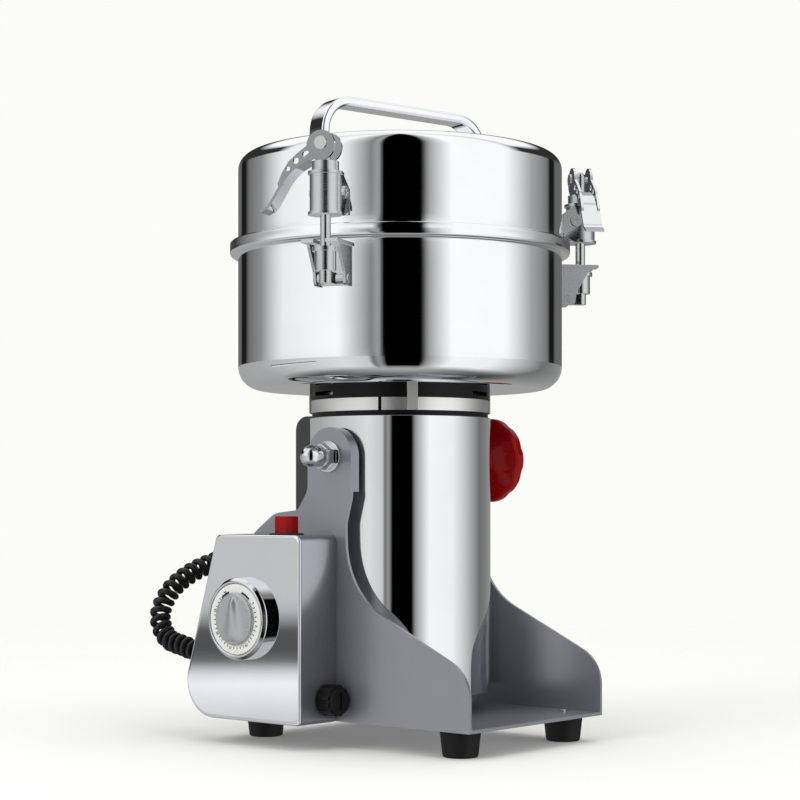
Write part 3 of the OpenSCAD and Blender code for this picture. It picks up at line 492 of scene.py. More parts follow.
@dataclass
class Paintbox:
    """Makes each finish once and dresses pieces and CAD nodes with it."""

    made: dict = field(default_factory=dict)

    def of(self, finish: Finish) -> bpy.types.Material:
        """The material of a finish, made when it is first asked for.

        Args:
            finish: the finish.

        Returns:
            The material.
        """
        if finish.name not in self.made:
            self.made[finish.name] = finish.make()
        return self.made[finish.name]

    def coat(self, made: Piece, finish: Finish) -> Piece:
        """Gives a piece that finish alone.

        Args:
            made: the piece.
            finish: the finish.

        Returns:
            The piece.
        """
        made.data.materials.clear()
        made.data.materials.append(self.of(finish))
        return made

    def fit(self, made: Piece, nodes: Sequence[str], finish: Finish | None = None) -> Piece:
        """Dresses a piece and lets it stand for CAD nodes of one body.

        Args:
            made: the piece.
            nodes: the nodes that it stands for.
            finish: its finish, or None for the first node's own.

        Returns:
            The piece.
        """
        self.coat(made, finish or FINISHES[SLOT_OF[nodes[0]]])
        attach(made, BODY_OF[nodes[0]])
        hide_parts(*nodes)
        log.info("%s stands for %s", made.name, ", ".join(nodes))
        return made

    def beside(self, made: Piece, node: str, finish: Finish) -> Piece:
        """Dresses a piece that rides with a node's body but replaces nothing.

        Args:
            made: the piece.
            node: the CAD node whose body it rides with.
            finish: the finish.

        Returns:
            The piece.
        """
        self.coat(made, finish)
        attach(made, BODY_OF[node])
        log.info("%s rides with %s", made.name, node)
        return made

    def refine(self, node: str, edge: float, angle: float = 30) -> Piece:
        """A copy of a CAD node with joined faces, smooth curves and rounded edges.

        Args:
            node: the CAD node.
            edge: the edges' rounding in mm.
            angle: faces that meet at more degrees than this have an edge.

        Returns:
            The new piece.
        """
        source = frame["nodes"][node]
        mesh = source.data.copy()
        mesh.name = node + "_fine"
        mesh.transform(source.matrix_world)
        bm = bmesh.new()
        bm.from_mesh(mesh)
        bmesh.ops.remove_doubles(bm, verts=bm.verts, dist=JOIN)
        bmesh.ops.dissolve_limit(bm, angle_limit=math.radians(0.4), verts=bm.verts, edges=bm.edges)
        bm.to_mesh(mesh)
        bm.free()
        soften(mesh, angle, outward=False)
        made = bpy.data.objects.new(node + "_fine", mesh)
        bpy.context.scene.collection.objects.link(made)
        return self.fit(bevel(made, edge, 2), [node])


# Studio


@dataclass
class Studio:
    """Camera, floor and light. Bands of light and dark stand round the object, as in a metalware studio."""

    # the camera: its place in mm, its heading in degrees, its focal length in mm and its shift
    eye: tuple = (-912.5, -779.3, 146.6)
    heading: float = -49.5
    lens: float = 87.1
    rise: float = 0.125
    # Rings of cards: (degrees round from the camera, towards the picture's right; brightness). A black flag
    # hangs behind the camera between two large soft boxes, which fall off to grey towards the back.
    low_cards: tuple = (
        (-180, 0.36), (-120, 0.44), (-40, 0.8), (-22, 0.65), (-19, 0.15), (-14.5, 0.35), (-10, 0.0),
        (15, 0.0), (19, 0.32), (37, 1.05), (69, 1.0), (99, 0.47), (120, 0.18), (180, 0.36),
    )
    # the upper ring, with a narrow flag at either side, a dark line near the bowl's and the lid's edges
    high_cards: tuple = (
        (-180, 0.14), (-154, 0.14), (-150, 0.01), (-140, 0.01), (-134, 0.16), (-114, 0.3), (-90, 0.95),
        (-44, 1.1), (-20, 0.25), (-14.5, 0.4), (-12, 0.0), (15, 0.0), (20, 0.4), (36, 1.12), (78, 1.1),
        (104, 0.42), (126, 0.2), (131, 0.01), (138, 0.01), (142, 0.14), (180, 0.14),
    )
    # a brighter strip between them, at the rim band's height
    strip_cards: tuple = (
        (-180, 0.1), (-146, 0.05), (-96, 0.5), (-64, 1.1), (-18, 1.1), (-14, 0.0), (14, 0.0), (19, 1.1),
        (64, 1.1), (109, 0.37), (146, 0.1), (180, 0.1),
    )
    # the card that the box's cover mirrors: where it is measured from, the way there, its distance and half
    # its width in mm, the height from which it fades out upwards, and its (height in mm, brightness)
    card_from: tuple = (-97.0, 40.0)
    card_way: tuple = (-0.76, 0.649)
    card_reach: float = 1000.0
    card_half: float = 420.0
    fade: float = 20.0
    strip: tuple = (
        (-130, 0.45), (-58, 1.0), (-47, 0.8), (-32, 0.16), (-20, 0.09), (2, 0.1), (24, 0.52), (50, 0.62),
    )
    # what faces that look down mirror: (the direction's lean towards the camera, -1 to 1; brightness)
    ground: tuple = ((-0.9, 0.03), (-0.3, 0.06), (0.1, 0.2), (0.45, 0.4), (1.0, 0.7))
    # behind the object, a dark ring and a bright one: (heights where it starts and is full, brightness)
    overhead: tuple = ((0.2, 0.26, 0.03), (0.5, 0.62, 1.1))
    # the heights where the ground begins and where it is all that shows
    ground_heights: tuple = (-0.65, -0.85)
    # how near the walls' fronts are to the camera, as their radius over its distance
    nearness: float = 0.0875
    # the heights, as parts of a ray's length, where one ring of cards gives way to the next
    ring_heights: tuple = ((0.056, 0.066), (0.1232, 0.1242), (0.1302, 0.1312))
    # the floor: half its side in mm, and the distances in metres where it starts to fade and is gone
    floor_half: float = 3000.0
    floor_fade: tuple = (0.35, 1.3)
    # lamps: name, place and aim in mm, diameter in m, power in W
    lamps: tuple = (
        ("top", (-200, -300, 2200), (0, 0, 150), 2.0, 11),
        ("key", (-1700, 300, 1300), (0, 0, 150), 1.2, 6),
    )
    side_lamp: tuple = ("box_side", (459, -679, 250), (-80, -6, 80), 0.7, 2.0)

    def camera(self) -> None:
        """A level camera at the photograph's place, shifted up instead of tilted."""
        data = bpy.data.cameras.new("camera")
        data.lens, data.sensor_width, data.shift_y = self.lens, 36.0, self.rise
        data.clip_start, data.clip_end = 0.05, 50.0
        made = bpy.data.objects.new("camera", data)
        made.location = [c * MM for c in self.eye]
        made.rotation_euler = (math.pi / 2, 0, math.radians(self.heading))
        bpy.context.scene.collection.objects.link(made)
        bpy.context.scene.camera = made

    def sky(self) -> None:
        """The surroundings: bands by compass direction, and a plain pale field behind the object."""
        world = bpy.data.worlds.new("studio")
        world.use_nodes = True
        tree = world.node_tree
        tree.nodes.clear()
        look = add(tree, "ShaderNodeTexCoord")
        split = add(tree, "ShaderNodeSeparateXYZ", links={0: look.outputs["Generated"]})
        x, y, z = (split.outputs[k] for k in "XYZ")
        compass = add(tree, "ShaderNodeMath", {"operation": "ARCTAN2"}, {0: y, 1: x})
        zero = math.radians(-90 + self.heading)
        shifted = add(
            tree, "ShaderNodeMath", {"operation": "SUBTRACT", 1: zero - math.pi}, {0: compass.outputs[0]}
        )
        settings = {"operation": "WRAP", 1: 2 * math.pi, 2: 0.0}
        wrapped = add(tree, "ShaderNodeMath", settings, {0: shifted.outputs[0]})
        share = add(tree, "ShaderNodeMath", {"operation": "DIVIDE", 1: 2 * math.pi}, {0: wrapped.outputs[0]})

        def band(stops: tuple) -> Socket:
            """The brightness by compass direction."""
            tones = [((a + 180) / 360, (v, v, v * 0.995, 1.0)) for a, v in stops]
            return ramp(tree, share.outputs[0], tones).outputs["Color"]

        def rise(low: float, high: float, height: Socket = z) -> Socket:
            """0 to 1 as the direction's height goes from low to high."""
            ends = {"From Min": low, "From Max": high}
            return add(tree, "ShaderNodeMapRange", ends, {"Value": height}).outputs["Result"]

        def blend(a: Socket, b: Socket | tuple, share: Socket) -> Socket:
            """Mixes colour a with colour b by a share.

            Args:
                a: the colour at share 0.
                b: the colour at share 1.
                share: 0 to 1.

            Returns:
                The mixed colour.
            """
            settings = {"data_type": "RGBA"} if isinstance(b, Socket) else {"data_type": "RGBA", 7: b}
            links = {0: share, 6: a} | ({7: b} if isinstance(b, Socket) else {})
            return add(tree, "ShaderNodeMix", settings, links).outputs[2]

        eye = unit(np.array(self.eye[:2]))
        settings = {"operation": "DOT_PRODUCT", 1: (eye[0], eye[1], 0)}
        ahead = add(tree, "ShaderNodeVectorMath", settings, {0: look.outputs["Generated"]})
        behind = add(
            tree, "ShaderNodeMapRange", {"From Min": 0.1, "From Max": -0.1}, {"Value": ahead.outputs["Value"]}
        )
        # A wall's level, whatever its side: height x (1 - nearness x cos(azimuth / 2)), since its sides stand
        # further off than its front.
        half = add(tree, "ShaderNodeMath", {"operation": "MULTIPLY", 1: 0.5}, {0: wrapped.outputs[0]})
        near = add(tree, "ShaderNodeMath", {"operation": "SINE"}, {0: half.outputs[0]})
        settings = {"operation": "MULTIPLY_ADD", 1: -self.nearness, 2: 1.0}
        gain = add(tree, "ShaderNodeMath", settings, {0: near.outputs[0]})
        level = add(tree, "ShaderNodeMath", {"operation": "MULTIPLY"}, {0: gain.outputs[0], 1: z}).outputs[0]
        upper = band(self.high_cards)
        colour = band(self.low_cards)
        for ring, (low, high) in zip((upper, band(self.strip_cards), upper), self.ring_heights):
            colour = blend(colour, ring, rise(low, high, level))
        for low, high, tone in self.overhead:
            factors = {0: rise(low, high), 1: behind.outputs["Result"]}
            over = add(tree, "ShaderNodeMath", {"operation": "MULTIPLY"}, factors)
            colour = blend(colour, (tone, tone, tone, 1.0), over.outputs[0])
        lean = add(
            tree, "ShaderNodeMapRange", {"From Min": -1.0, "From Max": 1.0}, {"Value": ahead.outputs["Value"]}
        )
        tones = [((a + 1) / 2, (v, v, v, 1.0)) for a, v in self.ground]
        ground = ramp(tree, lean.outputs["Result"], tones).outputs["Color"]
        colour = blend(colour, ground, rise(*self.ground_heights))
        shown = add(tree, "ShaderNodeBackground", {"Color": srgb("#FBFBF7"), "Strength": 1.0})
        lit = add(tree, "ShaderNodeBackground", {"Strength": 1.0}, {"Color": colour})
        path = add(tree, "ShaderNodeLightPath")
        sources = {0: path.outputs["Is Camera Ray"], 1: lit.outputs[0], 2: shown.outputs[0]}
        both = add(tree, "ShaderNodeMixShader", links=sources)
        add(tree, "ShaderNodeOutputWorld", links={"Surface": both.outputs[0]})
        bpy.context.scene.world = world

    def lamp(
        self, name: str, place: tuple, aim: tuple, size: float, power: float, only: Piece | None = None
    ) -> None:
        """A soft area light at a place in mm, aimed at a point in mm.

        Args:
            name: the lamp's name.
            place: where it stands.
            aim: the point that it faces.
            size: its diameter in metres.
            power: its power in watts.
            only: the one piece that it lights and shines on, or None for all, which then don't mirror it.
        """
        data = bpy.data.lights.new(name, "AREA")
        data.shape, data.size, data.energy = "DISK", size, power
        made = bpy.data.objects.new(name, data)
        at, to = Vector(place) * MM, Vector(aim) * MM
        made.location = at
        made.rotation_euler = (at - to).to_track_quat("Z", "Y").to_euler()
        made.visible_glossy = only is not None
        if only:
            made.light_linking.receiver_collection = bpy.data.collections.new(name + "_lights")
            made.light_linking.receiver_collection.objects.link(only)
        bpy.context.scene.collection.objects.link(made)

    def card(self) -> None:
        """A graded card at the left, which the box's polished cover mirrors: grey, then dark, then bright."""
        (x, y), half = self.card_way, self.card_half
        low, high = self.strip[0][0], self.strip[-1][0]
        mid = np.array([*self.card_from, 0]) + self.card_reach * np.array([x, y, 0])
        along, up = np.array([y, -x, 0]), np.array([0, 0, 1])
        grid = np.stack([mid + a * along + h * up for h in (low, high) for a in (-half, half)])
        made = piece("graded_card", grid, [[0, 1, 3, 2]])
        material = bpy.data.materials.new("graded_card")
        material.use_nodes = True
        tree = material.node_tree
        tree.nodes.clear()
        place = add(tree, "ShaderNodeTexCoord")
        split = add(tree, "ShaderNodeSeparateXYZ", links={0: place.outputs["Object"]})
        height = {"Value": split.outputs["Z"]}
        share = add(tree, "ShaderNodeMapRange", {"From Min": low * MM, "From Max": high * MM}, height)
        tones = [((h - low) / (high - low), (v, v, v * 1.01, 1.0)) for h, v in self.strip]
        tone = ramp(tree, share.outputs["Result"], tones)
        glow = add(tree, "ShaderNodeEmission", {"Strength": 1.0}, {"Color": tone.outputs["Color"]})
        fade = add(tree, "ShaderNodeMapRange", {"From Min": high * MM, "From Max": self.fade * MM}, height)
        clear = add(tree, "ShaderNodeBsdfTransparent")
        sources = {0: fade.outputs["Result"], 1: clear.outputs[0], 2: glow.outputs[0]}
        mix = add(tree, "ShaderNodeMixShader", links=sources)
        add(tree, "ShaderNodeOutputMaterial", links={"Surface": mix.outputs[0]})
        made.data.materials.append(material)
        made.visible_camera = made.visible_diffuse = made.visible_shadow = False

    def floor(self) -> None:
        """A wide pale floor that fades into the plain field, and that the polished steel doesn't mirror."""
        grid = np.array([[x, y, 0] for y in (-1, 1) for x in (-1, 1)], float) * self.floor_half
        made = piece("floor", grid, [[0, 1, 3, 2]])
        material = bpy.data.materials.new("paper_floor")
        material.use_nodes = True
        tree = material.node_tree
        shader = tree.nodes["Principled BSDF"]
        shader.inputs["Base Color"].default_value = srgb("#F6F6F2")
        shader.inputs["Roughness"].default_value = 0.9
        shader.inputs["Emission Color"].default_value = srgb("#FBFBF7")
        shader.inputs["Emission Strength"].default_value = 0.12
        shader.inputs["Specular IOR Level"].default_value = 0.0
        place = add(tree, "ShaderNodeTexCoord")
        reach = add(tree, "ShaderNodeVectorMath", {"operation": "LENGTH"}, {0: place.outputs["Object"]})
        start, gone = self.floor_fade
        ends = {"From Min": start, "From Max": gone, "interpolation_type": "SMOOTHSTEP"}
        far = add(tree, "ShaderNodeMapRange", ends, {"Value": reach.outputs["Value"]})
        clear = add(tree, "ShaderNodeBsdfTransparent")
        sources = {0: far.outputs["Result"], 1: shader.outputs[0], 2: clear.outputs[0]}
        mix = add(tree, "ShaderNodeMixShader", links=sources)
        tree.links.new(mix.outputs[0], tree.nodes["Material Output"].inputs["Surface"])
        made.data.materials.append(material)
        made.visible_glossy = False

    def build(self) -> None:
        """Sets up camera, surroundings, lamps and floor."""
        self.camera()
        self.sky()
        self.floor()
        self.card()
        for lamp in self.lamps:
            self.lamp(*lamp)
        bpy.context.scene.view_settings.view_transform = "Standard"


# Curly lead


@dataclass
class CurlyLead:
    """The lead from the box's back to the terminal cover: a wire wound round its route."""

    # the wire's and the curls' thickness, their number, and how much their spacing changes along the lead
    wire: float = 4.1
    curl: float = 13.5
    curls: int = 30
    loose: float = 0.1
    # the straight ends, the stretch in which the curls grow, and the mesh's rings to a curl and sides
    straight: float = 4.0
    ramp: float = 5.0
    rings: int = 24
    sides: int = 16
    # the glands that it runs between: the box's, how far it stands out, and the motor's
    box_gland_x: float = halfway("box_glands", Axis.X)
    box_gland_z: float = 50.0
    gland_rise: float = 2.5
    motor_gland: tuple = (0.0, most("motor_gland", Axis.Y), halfway("motor_gland", Axis.Z))
    # the points that it hangs through, from the motor to the box
    hang: tuple = (
        (-12, 106, 112), (-32, 118, 109), (-54, 125, 102), (-72, 129, 90), (-81, 130, 74), (-83, 121, 60),
    )
    # a direction that the route never runs along
    sideways: tuple = (1.0, 1.0, -1.0)
    # a strain relief's length, root radius, taper, and its ribs' height and pitch
    relief_sizes: tuple = (6.5, 4.6, 0.32, 0.22, 1.6)

    def box_end(self) -> tuple[Points, Points]:
        """The point on the box's gland and the direction out of the sloping back.

        Returns:
            The point in mm and the unit direction.
        """
        lean = (ControlBox.low_back - ControlBox.top_back) / (ControlBox.top - ControlBox.low)
        tilt = math.atan(lean)
        out = np.array([0, math.cos(tilt), math.sin(tilt)])
        back = ControlBox.top_back + (ControlBox.top - self.box_gland_z) * lean
        return np.array([self.box_gland_x, back, self.box_gland_z]) + self.gland_rise * out, out

    def route(self) -> Points:
        """The points that the lead hangs through, in mm.

        Returns:
            Points in mm, from the motor to the box.
        """
        start = np.array(self.motor_gland)
        end, out = self.box_end()
        first = [start, start + [0, 4, 0], start + [0, 18, 0]]
        last = [end + out * 16, end + out * 4, end]
        return np.array([*first, *np.array(self.hang, float), *last])

    def centre_line(self) -> Points:
        """A Catmull-Rom curve through the route, evenly spaced along its length.

        Returns:
            Points in mm, evenly spaced.
        """
        p = self.route()
        q = np.concatenate([p[:1], p, p[-1:]])
        t = np.linspace(0, 1, 40, endpoint=False)[:, None]
        runs = [
            0.5 * (2 * b + (c - a) * t + (2 * a - 5 * b + 4 * c - d) * t**2 + (3 * b - a - 3 * c + d) * t**3)
            for a, b, c, d in zip(q[:-3], q[1:-2], q[2:-1], q[3:])
        ]
        path = np.concatenate([*runs, p[-1:]])
        at = np.concatenate([[0], np.cumsum(np.linalg.norm(np.diff(path, axis=0), axis=1))])
        even = np.linspace(0, at[-1], self.curls * self.rings + 1)
        return np.stack([np.interp(even, at, path[:, k]) for k in range(3)], 1)

    def wire_line(self) -> Points:
        """The wire's own centre: a helix whose radius eases in from the straight ends.

        Returns:
            Points in mm, one for each ring of the wire.
        """
        core = self.centre_line()
        step = float(np.linalg.norm(core[1] - core[0]))
        total = step * (len(core) - 1)
        s = np.linspace(0, total, len(core))
        t = s / total
        along = unit(np.gradient(core, axis=0))
        u = unit(np.cross(along, unit(np.array(self.sideways))))
        v = np.cross(along, u)
        x = np.clip((np.minimum(s, total - s) - self.straight) / self.ramp, 0, 1)
        size = (self.curl - self.wire) / 2 * x * x * (3 - 2 * x)
        phase = 2 * np.pi * self.curls * (t - self.loose * t * (1 - t))
        return core + size[:, None] * (u * np.cos(phase)[:, None] + v * np.sin(phase)[:, None])

    def relief(self, name: str, at: Points, out: Points) -> Piece:
        """A tapered, ribbed strain relief round the wire where it leaves a gland.

        Args:
            name: the piece's name.
            at: where it starts, in mm.
            out: the direction that it points in.

        Returns:
            The new piece.
        """
        length, root, taper, rib, pitch = self.relief_sizes
        h = np.linspace(0, length, 40)
        r = root - taper * h + rib * np.cos(h * 2 * np.pi / pitch)
        r[-1] = self.wire / 2 - 0.1
        side = np.array([1.0, 0, 0])
        ring = circle(1.0, 32) @ np.stack([side, np.cross(out, side)])
        return skin(name, at + h[:, None, None] * out + r[:, None, None] * ring[None], capped=True)

    def build(self, paints: Paintbox) -> None:
        """Makes the wire and its two strain reliefs.

        Args:
            paints: the finishes.
        """
        line = self.wire_line()
        wound = swept(line, circle(self.wire / 2, self.sides), unit(np.array(self.sideways)))
        made = skin("lead_wire", wound, capped=True, angle=80)
        paints.coat(made, FINISHES["lead_jacket"])
        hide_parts("curly_lead")
        end, out = self.box_end()
        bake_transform(made)
        motor = ("motor_gland", np.array(self.motor_gland), np.array([0, 1.0, 0]))
        for kind, (node, at, way) in {"box": ("box_glands", end, out), "motor": motor}.items():
            paints.beside(self.relief(kind + "_relief", at, way), node, FINISHES["black_plastic"])


# Bowl, lid and motor tube


@dataclass
class Bowl:
    """The bowl with its stepped rim band, and the blocks under it."""

    band: float = most("bowl", Axis.X)
    band_height: float = 8.0
    radius: float = band - 5.0
    wall: float = 1.5
    # its floor lies on the motor's end frame, and the band's underside is its seat
    low: float = most("end_frame", Axis.Z)
    seat: float = most("bowl", Axis.Z) - band_height
    bore: float = 10.0
    # the lower corner's outer radius, and the rim band's
    corner: float = 14.0
    band_corner: float = 2.2
    # the blocks: the first one's angle, their reach in and out, half their width, their foot and number
    block_turn: float = 43.0
    block_reach: tuple = (40.2, 49.3)
    block_half: float = 10.9
    block_foot: float = least("bowl", Axis.Z)
    blocks: int = 3

    def build(self, paints: Paintbox) -> None:
        """Turns the bowl's wall as one closed profile and sets the blocks under it.

        Args:
            paints: the finishes.
        """
        w, top = self.wall, self.seat + self.band_height
        wall = fillet(
            [
                (self.bore, self.low, 0), (self.radius, self.low, self.corner), (self.radius, self.seat, 0.9),
                (self.band, self.seat, self.band_corner), (self.band, top, 0.74), (self.band - w, top, 0.74),
                (self.band - w, self.seat + w, 1.5), (self.radius - w, self.seat + w, 0.6),
                (self.radius - w, self.low + w, self.corner - w), (self.bore, self.low + w, 0),
            ],
            10,
        )
        made = skin("bowl_shell", turned(wall, sides=256), close_rows=True)
        paints.fit(made, ["bowl"])
        (near, far), half = self.block_reach, self.block_half
        block = fillet([(near, -half, 1), (far, -half, 1), (far, half, 1), (near, half, 1)], 4)
        for k in range(self.blocks):
            a = math.radians(self.block_turn + 360 * k / self.blocks)
            turn = np.array([[math.cos(a), math.sin(a)], [-math.sin(a), math.cos(a)]])
            foot = pressed(f"bowl_block_{k + 1}", block @ turn, self.block_foot, self.low + 0.3, Axis.Z)
            paints.beside(bevel(foot, 0.4), "bowl", FINISHES["machined_steel"])


@dataclass
class Lid:
    """The domed lid and its bent carrying handle."""

    flange: float = most("lid", Axis.X)
    radius: float = flange - 3.2
    wall: float = 1.2
    low: float = least("lid", Axis.Z)
    top: float = most("lid", Axis.Z)
    shoulder: float = 9.0
    handle_rise: float = most("lid_handle", Axis.Z) - top
    handle_foot: float = 65.0
    handle_top: float = 63.5
    bend: float = 22.0
    # the handle's bar: width, thickness and the rounding of its edges
    bar: tuple = (15.0, 5.5)
    bar_edge: float = 1.7
    sunk: float = 0.8
    turn: float = -11.1

    def build(self, paints: Paintbox) -> None:
        """Turns the lid and bends the handle's bar over it.

        Args:
            paints: the finishes.
        """
        w = self.wall
        wall = fillet(
            [
                (0, self.top, 0), (self.radius, self.top, self.shoulder), (self.radius, self.low + w, 0.8),
                (self.flange, self.low + w, 0.4), (self.flange, self.low, 0.4),
                (self.radius - w, self.low, 0), (self.radius - w, self.top - w, self.shoulder - w),
                (0, self.top - w, 0),
            ],
            14,
        )
        paints.fit(skin("lid_shell", turned(wall, sides=256)), ["lid"])
        half = self.bar[1] / 2
        foot, head, bend = self.handle_foot - half, self.handle_top - half, self.bend - half
        low, rise = self.top - self.sunk, self.top + self.handle_rise - half
        line = fillet(
            [(-foot, low, 0), (-head, rise, bend), (head, rise, bend), (foot, low, 0)], 14, closed=False
        )
        a = math.radians(self.turn)
        path = np.stack([line[:, 0] * math.cos(a), line[:, 0] * math.sin(a), line[:, 1]], 1)
        across = np.array([-math.sin(a), math.cos(a), 0])
        section = round_bar(self.bar[1], self.bar[0], self.bar_edge)
        made = skin("handle_bar", swept(path, section, across), capped=True, angle=60)
        paints.fit(made, ["lid_handle"])


@dataclass
class MotorTube:
    """The polished tube round the motor."""

    radius: float = most("motor_tube", Axis.X)
    wall: float = 1.2
    low: float = least("motor_tube", Axis.Z)
    top: float = most("motor_tube", Axis.Z)

    def build(self, paints: Paintbox) -> None:
        """Turns the tube as a closed ring with eased edges.

        Args:
            paints: the finishes.
        """
        r, w = self.radius, self.wall
        wall = fillet(
            [(r, self.low, 0.5), (r, self.top, 0.5), (r - w, self.top, 0.5), (r - w, self.low, 0.5)], 4
        )
        paints.fit(skin("tube_shell", turned(wall, sides=256), close_rows=True), ["motor_tube"])


# Control box


@dataclass
class ControlBox:
    """The polished cover, the seam behind it, the timer dial and its knob."""

    # the side view: heights from the floor, and the front and the sloping back from the tilt axis
    top: float = most("box_face_cover", Axis.Z)
    low: float = least("box_face_cover", Axis.Z)
    front: float = least("box_face_cover", Axis.Y)
    top_back: float = 63.0
    low_back: float = 96.5
    corner: float = 22.0
    # how far out the shell ends, the cover's face lies and the bezel stands, and the dial's middle and radii
    shell: float = -most("box_face_cover", Axis.X)
    face: float = -least("box_face_cover", Axis.X)
    dial: tuple = (halfway("timer_bezel", Axis.Y), halfway("timer_bezel", Axis.Z))
    bezel: float = half_width("timer_bezel", Axis.Y)
    dial_radius: float = half_width("dial_ring", Axis.Y)
    bezel_face: float = -least("timer_bezel", Axis.X)
    knob: float = half_width("timer_knob", Axis.Y)
    # the dial's minutes, the first one's angle and their sweep in degrees, and the radius that they lie on
    ticks: int = 30
    first: float = 56.0
    sweep: float = 275.0
    mark_radius: float = 17.1
    # the dial's hole, and how far behind the bezel's front its face and its ink lie
    dial_hole: float = 3.2
    dial_sunk: float = 0.5
    ink_sunk: float = 0.44
    # a tick's half length and half width, the two arcs' angles and radii, a number's height and its boldness
    tick: tuple = (0.8, 0.24)
    arcs: tuple = ((18, 43), (317, 342))
    arc_radii: tuple = (16.0, 17.2)
    digit: float = 2.3
    bold: float = 0.05
    # how far in and how far back the cover's border rolls
    roll: tuple = (1.4, 1.2)
    # the knob's grip: its width at the pointer, what that gains at the other end, and its height
    grip_width: tuple = (1.4, 4.0)
    grip_height: float = 2.2

    def outline(self, inset: float = 0.0) -> Points:
        """The box's side view, drawn in by an inset.

        Args:
            inset: how far in, in mm.

        Returns:
            (y, z) rows in mm.
        """
        lean = (self.low_back - self.top_back) / (self.top - self.low)
        slant = inset * math.sqrt(1 + lean * lean)
        lo, hi = self.low + inset, self.top - inset
        back_lo, back_hi = (self.top_back + (self.top - z) * lean - slant for z in (lo, hi))
        front = self.front + inset
        return fillet(
            [(front, lo, 3), (front, hi, 4), (back_hi, hi, 5), (back_lo, lo, self.corner - inset)], 12
        )

    def cover(self, paints: Paintbox) -> None:
        """The cover: a flat face whose border rolls back to the seam, over a thin dark gasket.

        Args:
            paints: the finishes.
        """
        turn = np.linspace(0, np.pi / 2, 7)
        inset, depth = self.roll[0] * (1 - np.sin(turn)), self.roll[1] * (1 - np.cos(turn))
        steps = [(6.0, 0.0), (2.6, 0.0), *zip(inset, depth), (0.0, 1.25)]
        rows = [placed(*self.outline(i).T, np.array(-self.face + d), Axis.X) for i, d in steps]
        made = skin("cover_face", np.stack(rows), capped=True, angle=50)
        paints.fit(made, ["box_face_cover"])
        seam = pressed("cover_seam", self.outline(0.7), -self.face + 1.1, -self.shell, Axis.X)
        paints.beside(seam, "box_face_cover", FINISHES["rubber"])

    def timer(self, paints: Paintbox) -> None:
        """Bezel, white dial with printed marks, and the grip knob.

        Args:
            paints: the finishes.
        """
        y, z = self.dial
        at = (0, y, z)
        r, rear, front = self.dial_radius, -self.face, -self.bezel_face
        ring = fillet(
            [
                (self.bezel, rear, 0), (self.bezel, front + 2.2, 1.2), (self.bezel - 1.8, front, 1.2),
                (r + 0.4, front, 0.8), (r, front + 1.5, 0.4), (r, rear, 0),
            ],
            6,
        )
        paints.fit(skin("bezel_ring", turned(ring, Axis.X, 160, at), close_rows=True), ["timer_bezel"])
        hole, sunk = self.dial_hole, front + self.dial_sunk
        plate = fillet([(hole, rear, 0), (r, rear, 0), (r, sunk, 0.3), (hole, sunk, 0)], 4)
        paints.fit(
            skin("dial_plate", turned(plate, Axis.X, 128, at), close_rows=True), ["dial_ring"], DIAL_WHITE
        )
        self.marks(paints)
        self.grip(paints)

    def marks(self, paints: Paintbox) -> None:
        """Printed marks, thin ink quads: a tick a minute, a number every five, and two arcs at the top.

        Args:
            paints: the finishes.
        """
        front = -self.bezel_face + self.ink_sunk
        points, faces = [], []
        long, wide = self.tick
        offsets = ((-long, -wide), (-long, wide), (long, wide), (long, -wide))
        for k in range(self.ticks + 1):
            a = math.radians(self.first + self.sweep * k / self.ticks)
            if k % 5 == 0:
                self.number(str(k), a, front, paints)
                continue
            along, across = np.array([-math.sin(a), math.cos(a)]), np.array([math.cos(a), math.sin(a)])
            corners = [self.mark_radius * along + u * along + v * across for u, v in offsets]
            faces.append([len(points) + i for i in range(4)])
            points += [[front, *(np.array(self.dial) + c)] for c in corners]
        for low, high in self.arcs:
            a = np.radians(np.linspace(low, high, 16))
            base = len(points)
            for r in self.arc_radii:
                y, z = self.dial[0] - r * np.sin(a), self.dial[1] + r * np.cos(a)
                points += np.stack([np.full_like(a, front), y, z], 1).tolist()
            faces += [[base + i, base + i + 1, base + 17 + i, base + 16 + i] for i in range(15)]
        paints.beside(self.facing(piece("dial_marks", np.array(points), faces)), "dial_ring", INK)

    def facing(self, made: Piece) -> Piece:
        """Turns a flat piece's faces to the dial's front, which is -X.

        Args:
            made: the piece.

        Returns:
            The piece.
        """
        for face in made.data.polygons:
            if face.normal.x > 0:
                face.flip()
        return made

    def number(self, text: str, angle: float, front: float, paints: Paintbox) -> None:
        """A small number printed on the dial, with its foot towards the knob.

        Args:
            text: the digits.
            angle: the number's place round the dial, in radians from the top.
            front: the height of the dial's face along X, in mm.
            paints: the finishes.
        """
        curve = bpy.data.curves.new("digits", "FONT")
        curve.body, curve.size, curve.align_x, curve.align_y = text, self.digit, "CENTER", "CENTER"
        curve.offset = self.bold
        holder = bpy.data.objects.new("digits", curve)
        bpy.context.scene.collection.objects.link(holder)
        shape = bpy.data.meshes.new_from_object(holder.evaluated_get(bpy.context.evaluated_depsgraph_get()))
        flat = np.empty(len(shape.vertices) * 3)
        shape.vertices.foreach_get("co", flat)
        flat = flat.reshape(-1, 3)[:, :2]
        faces = [list(p.vertices) for p in shape.polygons]
        bpy.data.objects.remove(holder)
        radial = np.array([-math.sin(angle), math.cos(angle)])
        across = np.array([-math.cos(angle), -math.sin(angle)])
        middle = np.array(self.dial) + (self.mark_radius + 0.5) * radial
        spot = middle + flat[:, :1] * across + flat[:, 1:] * radial
        made = piece(f"dial_number_{text}", np.column_stack([np.full(len(spot), front), spot]), faces)
        paints.beside(self.facing(made), "dial_ring", INK)

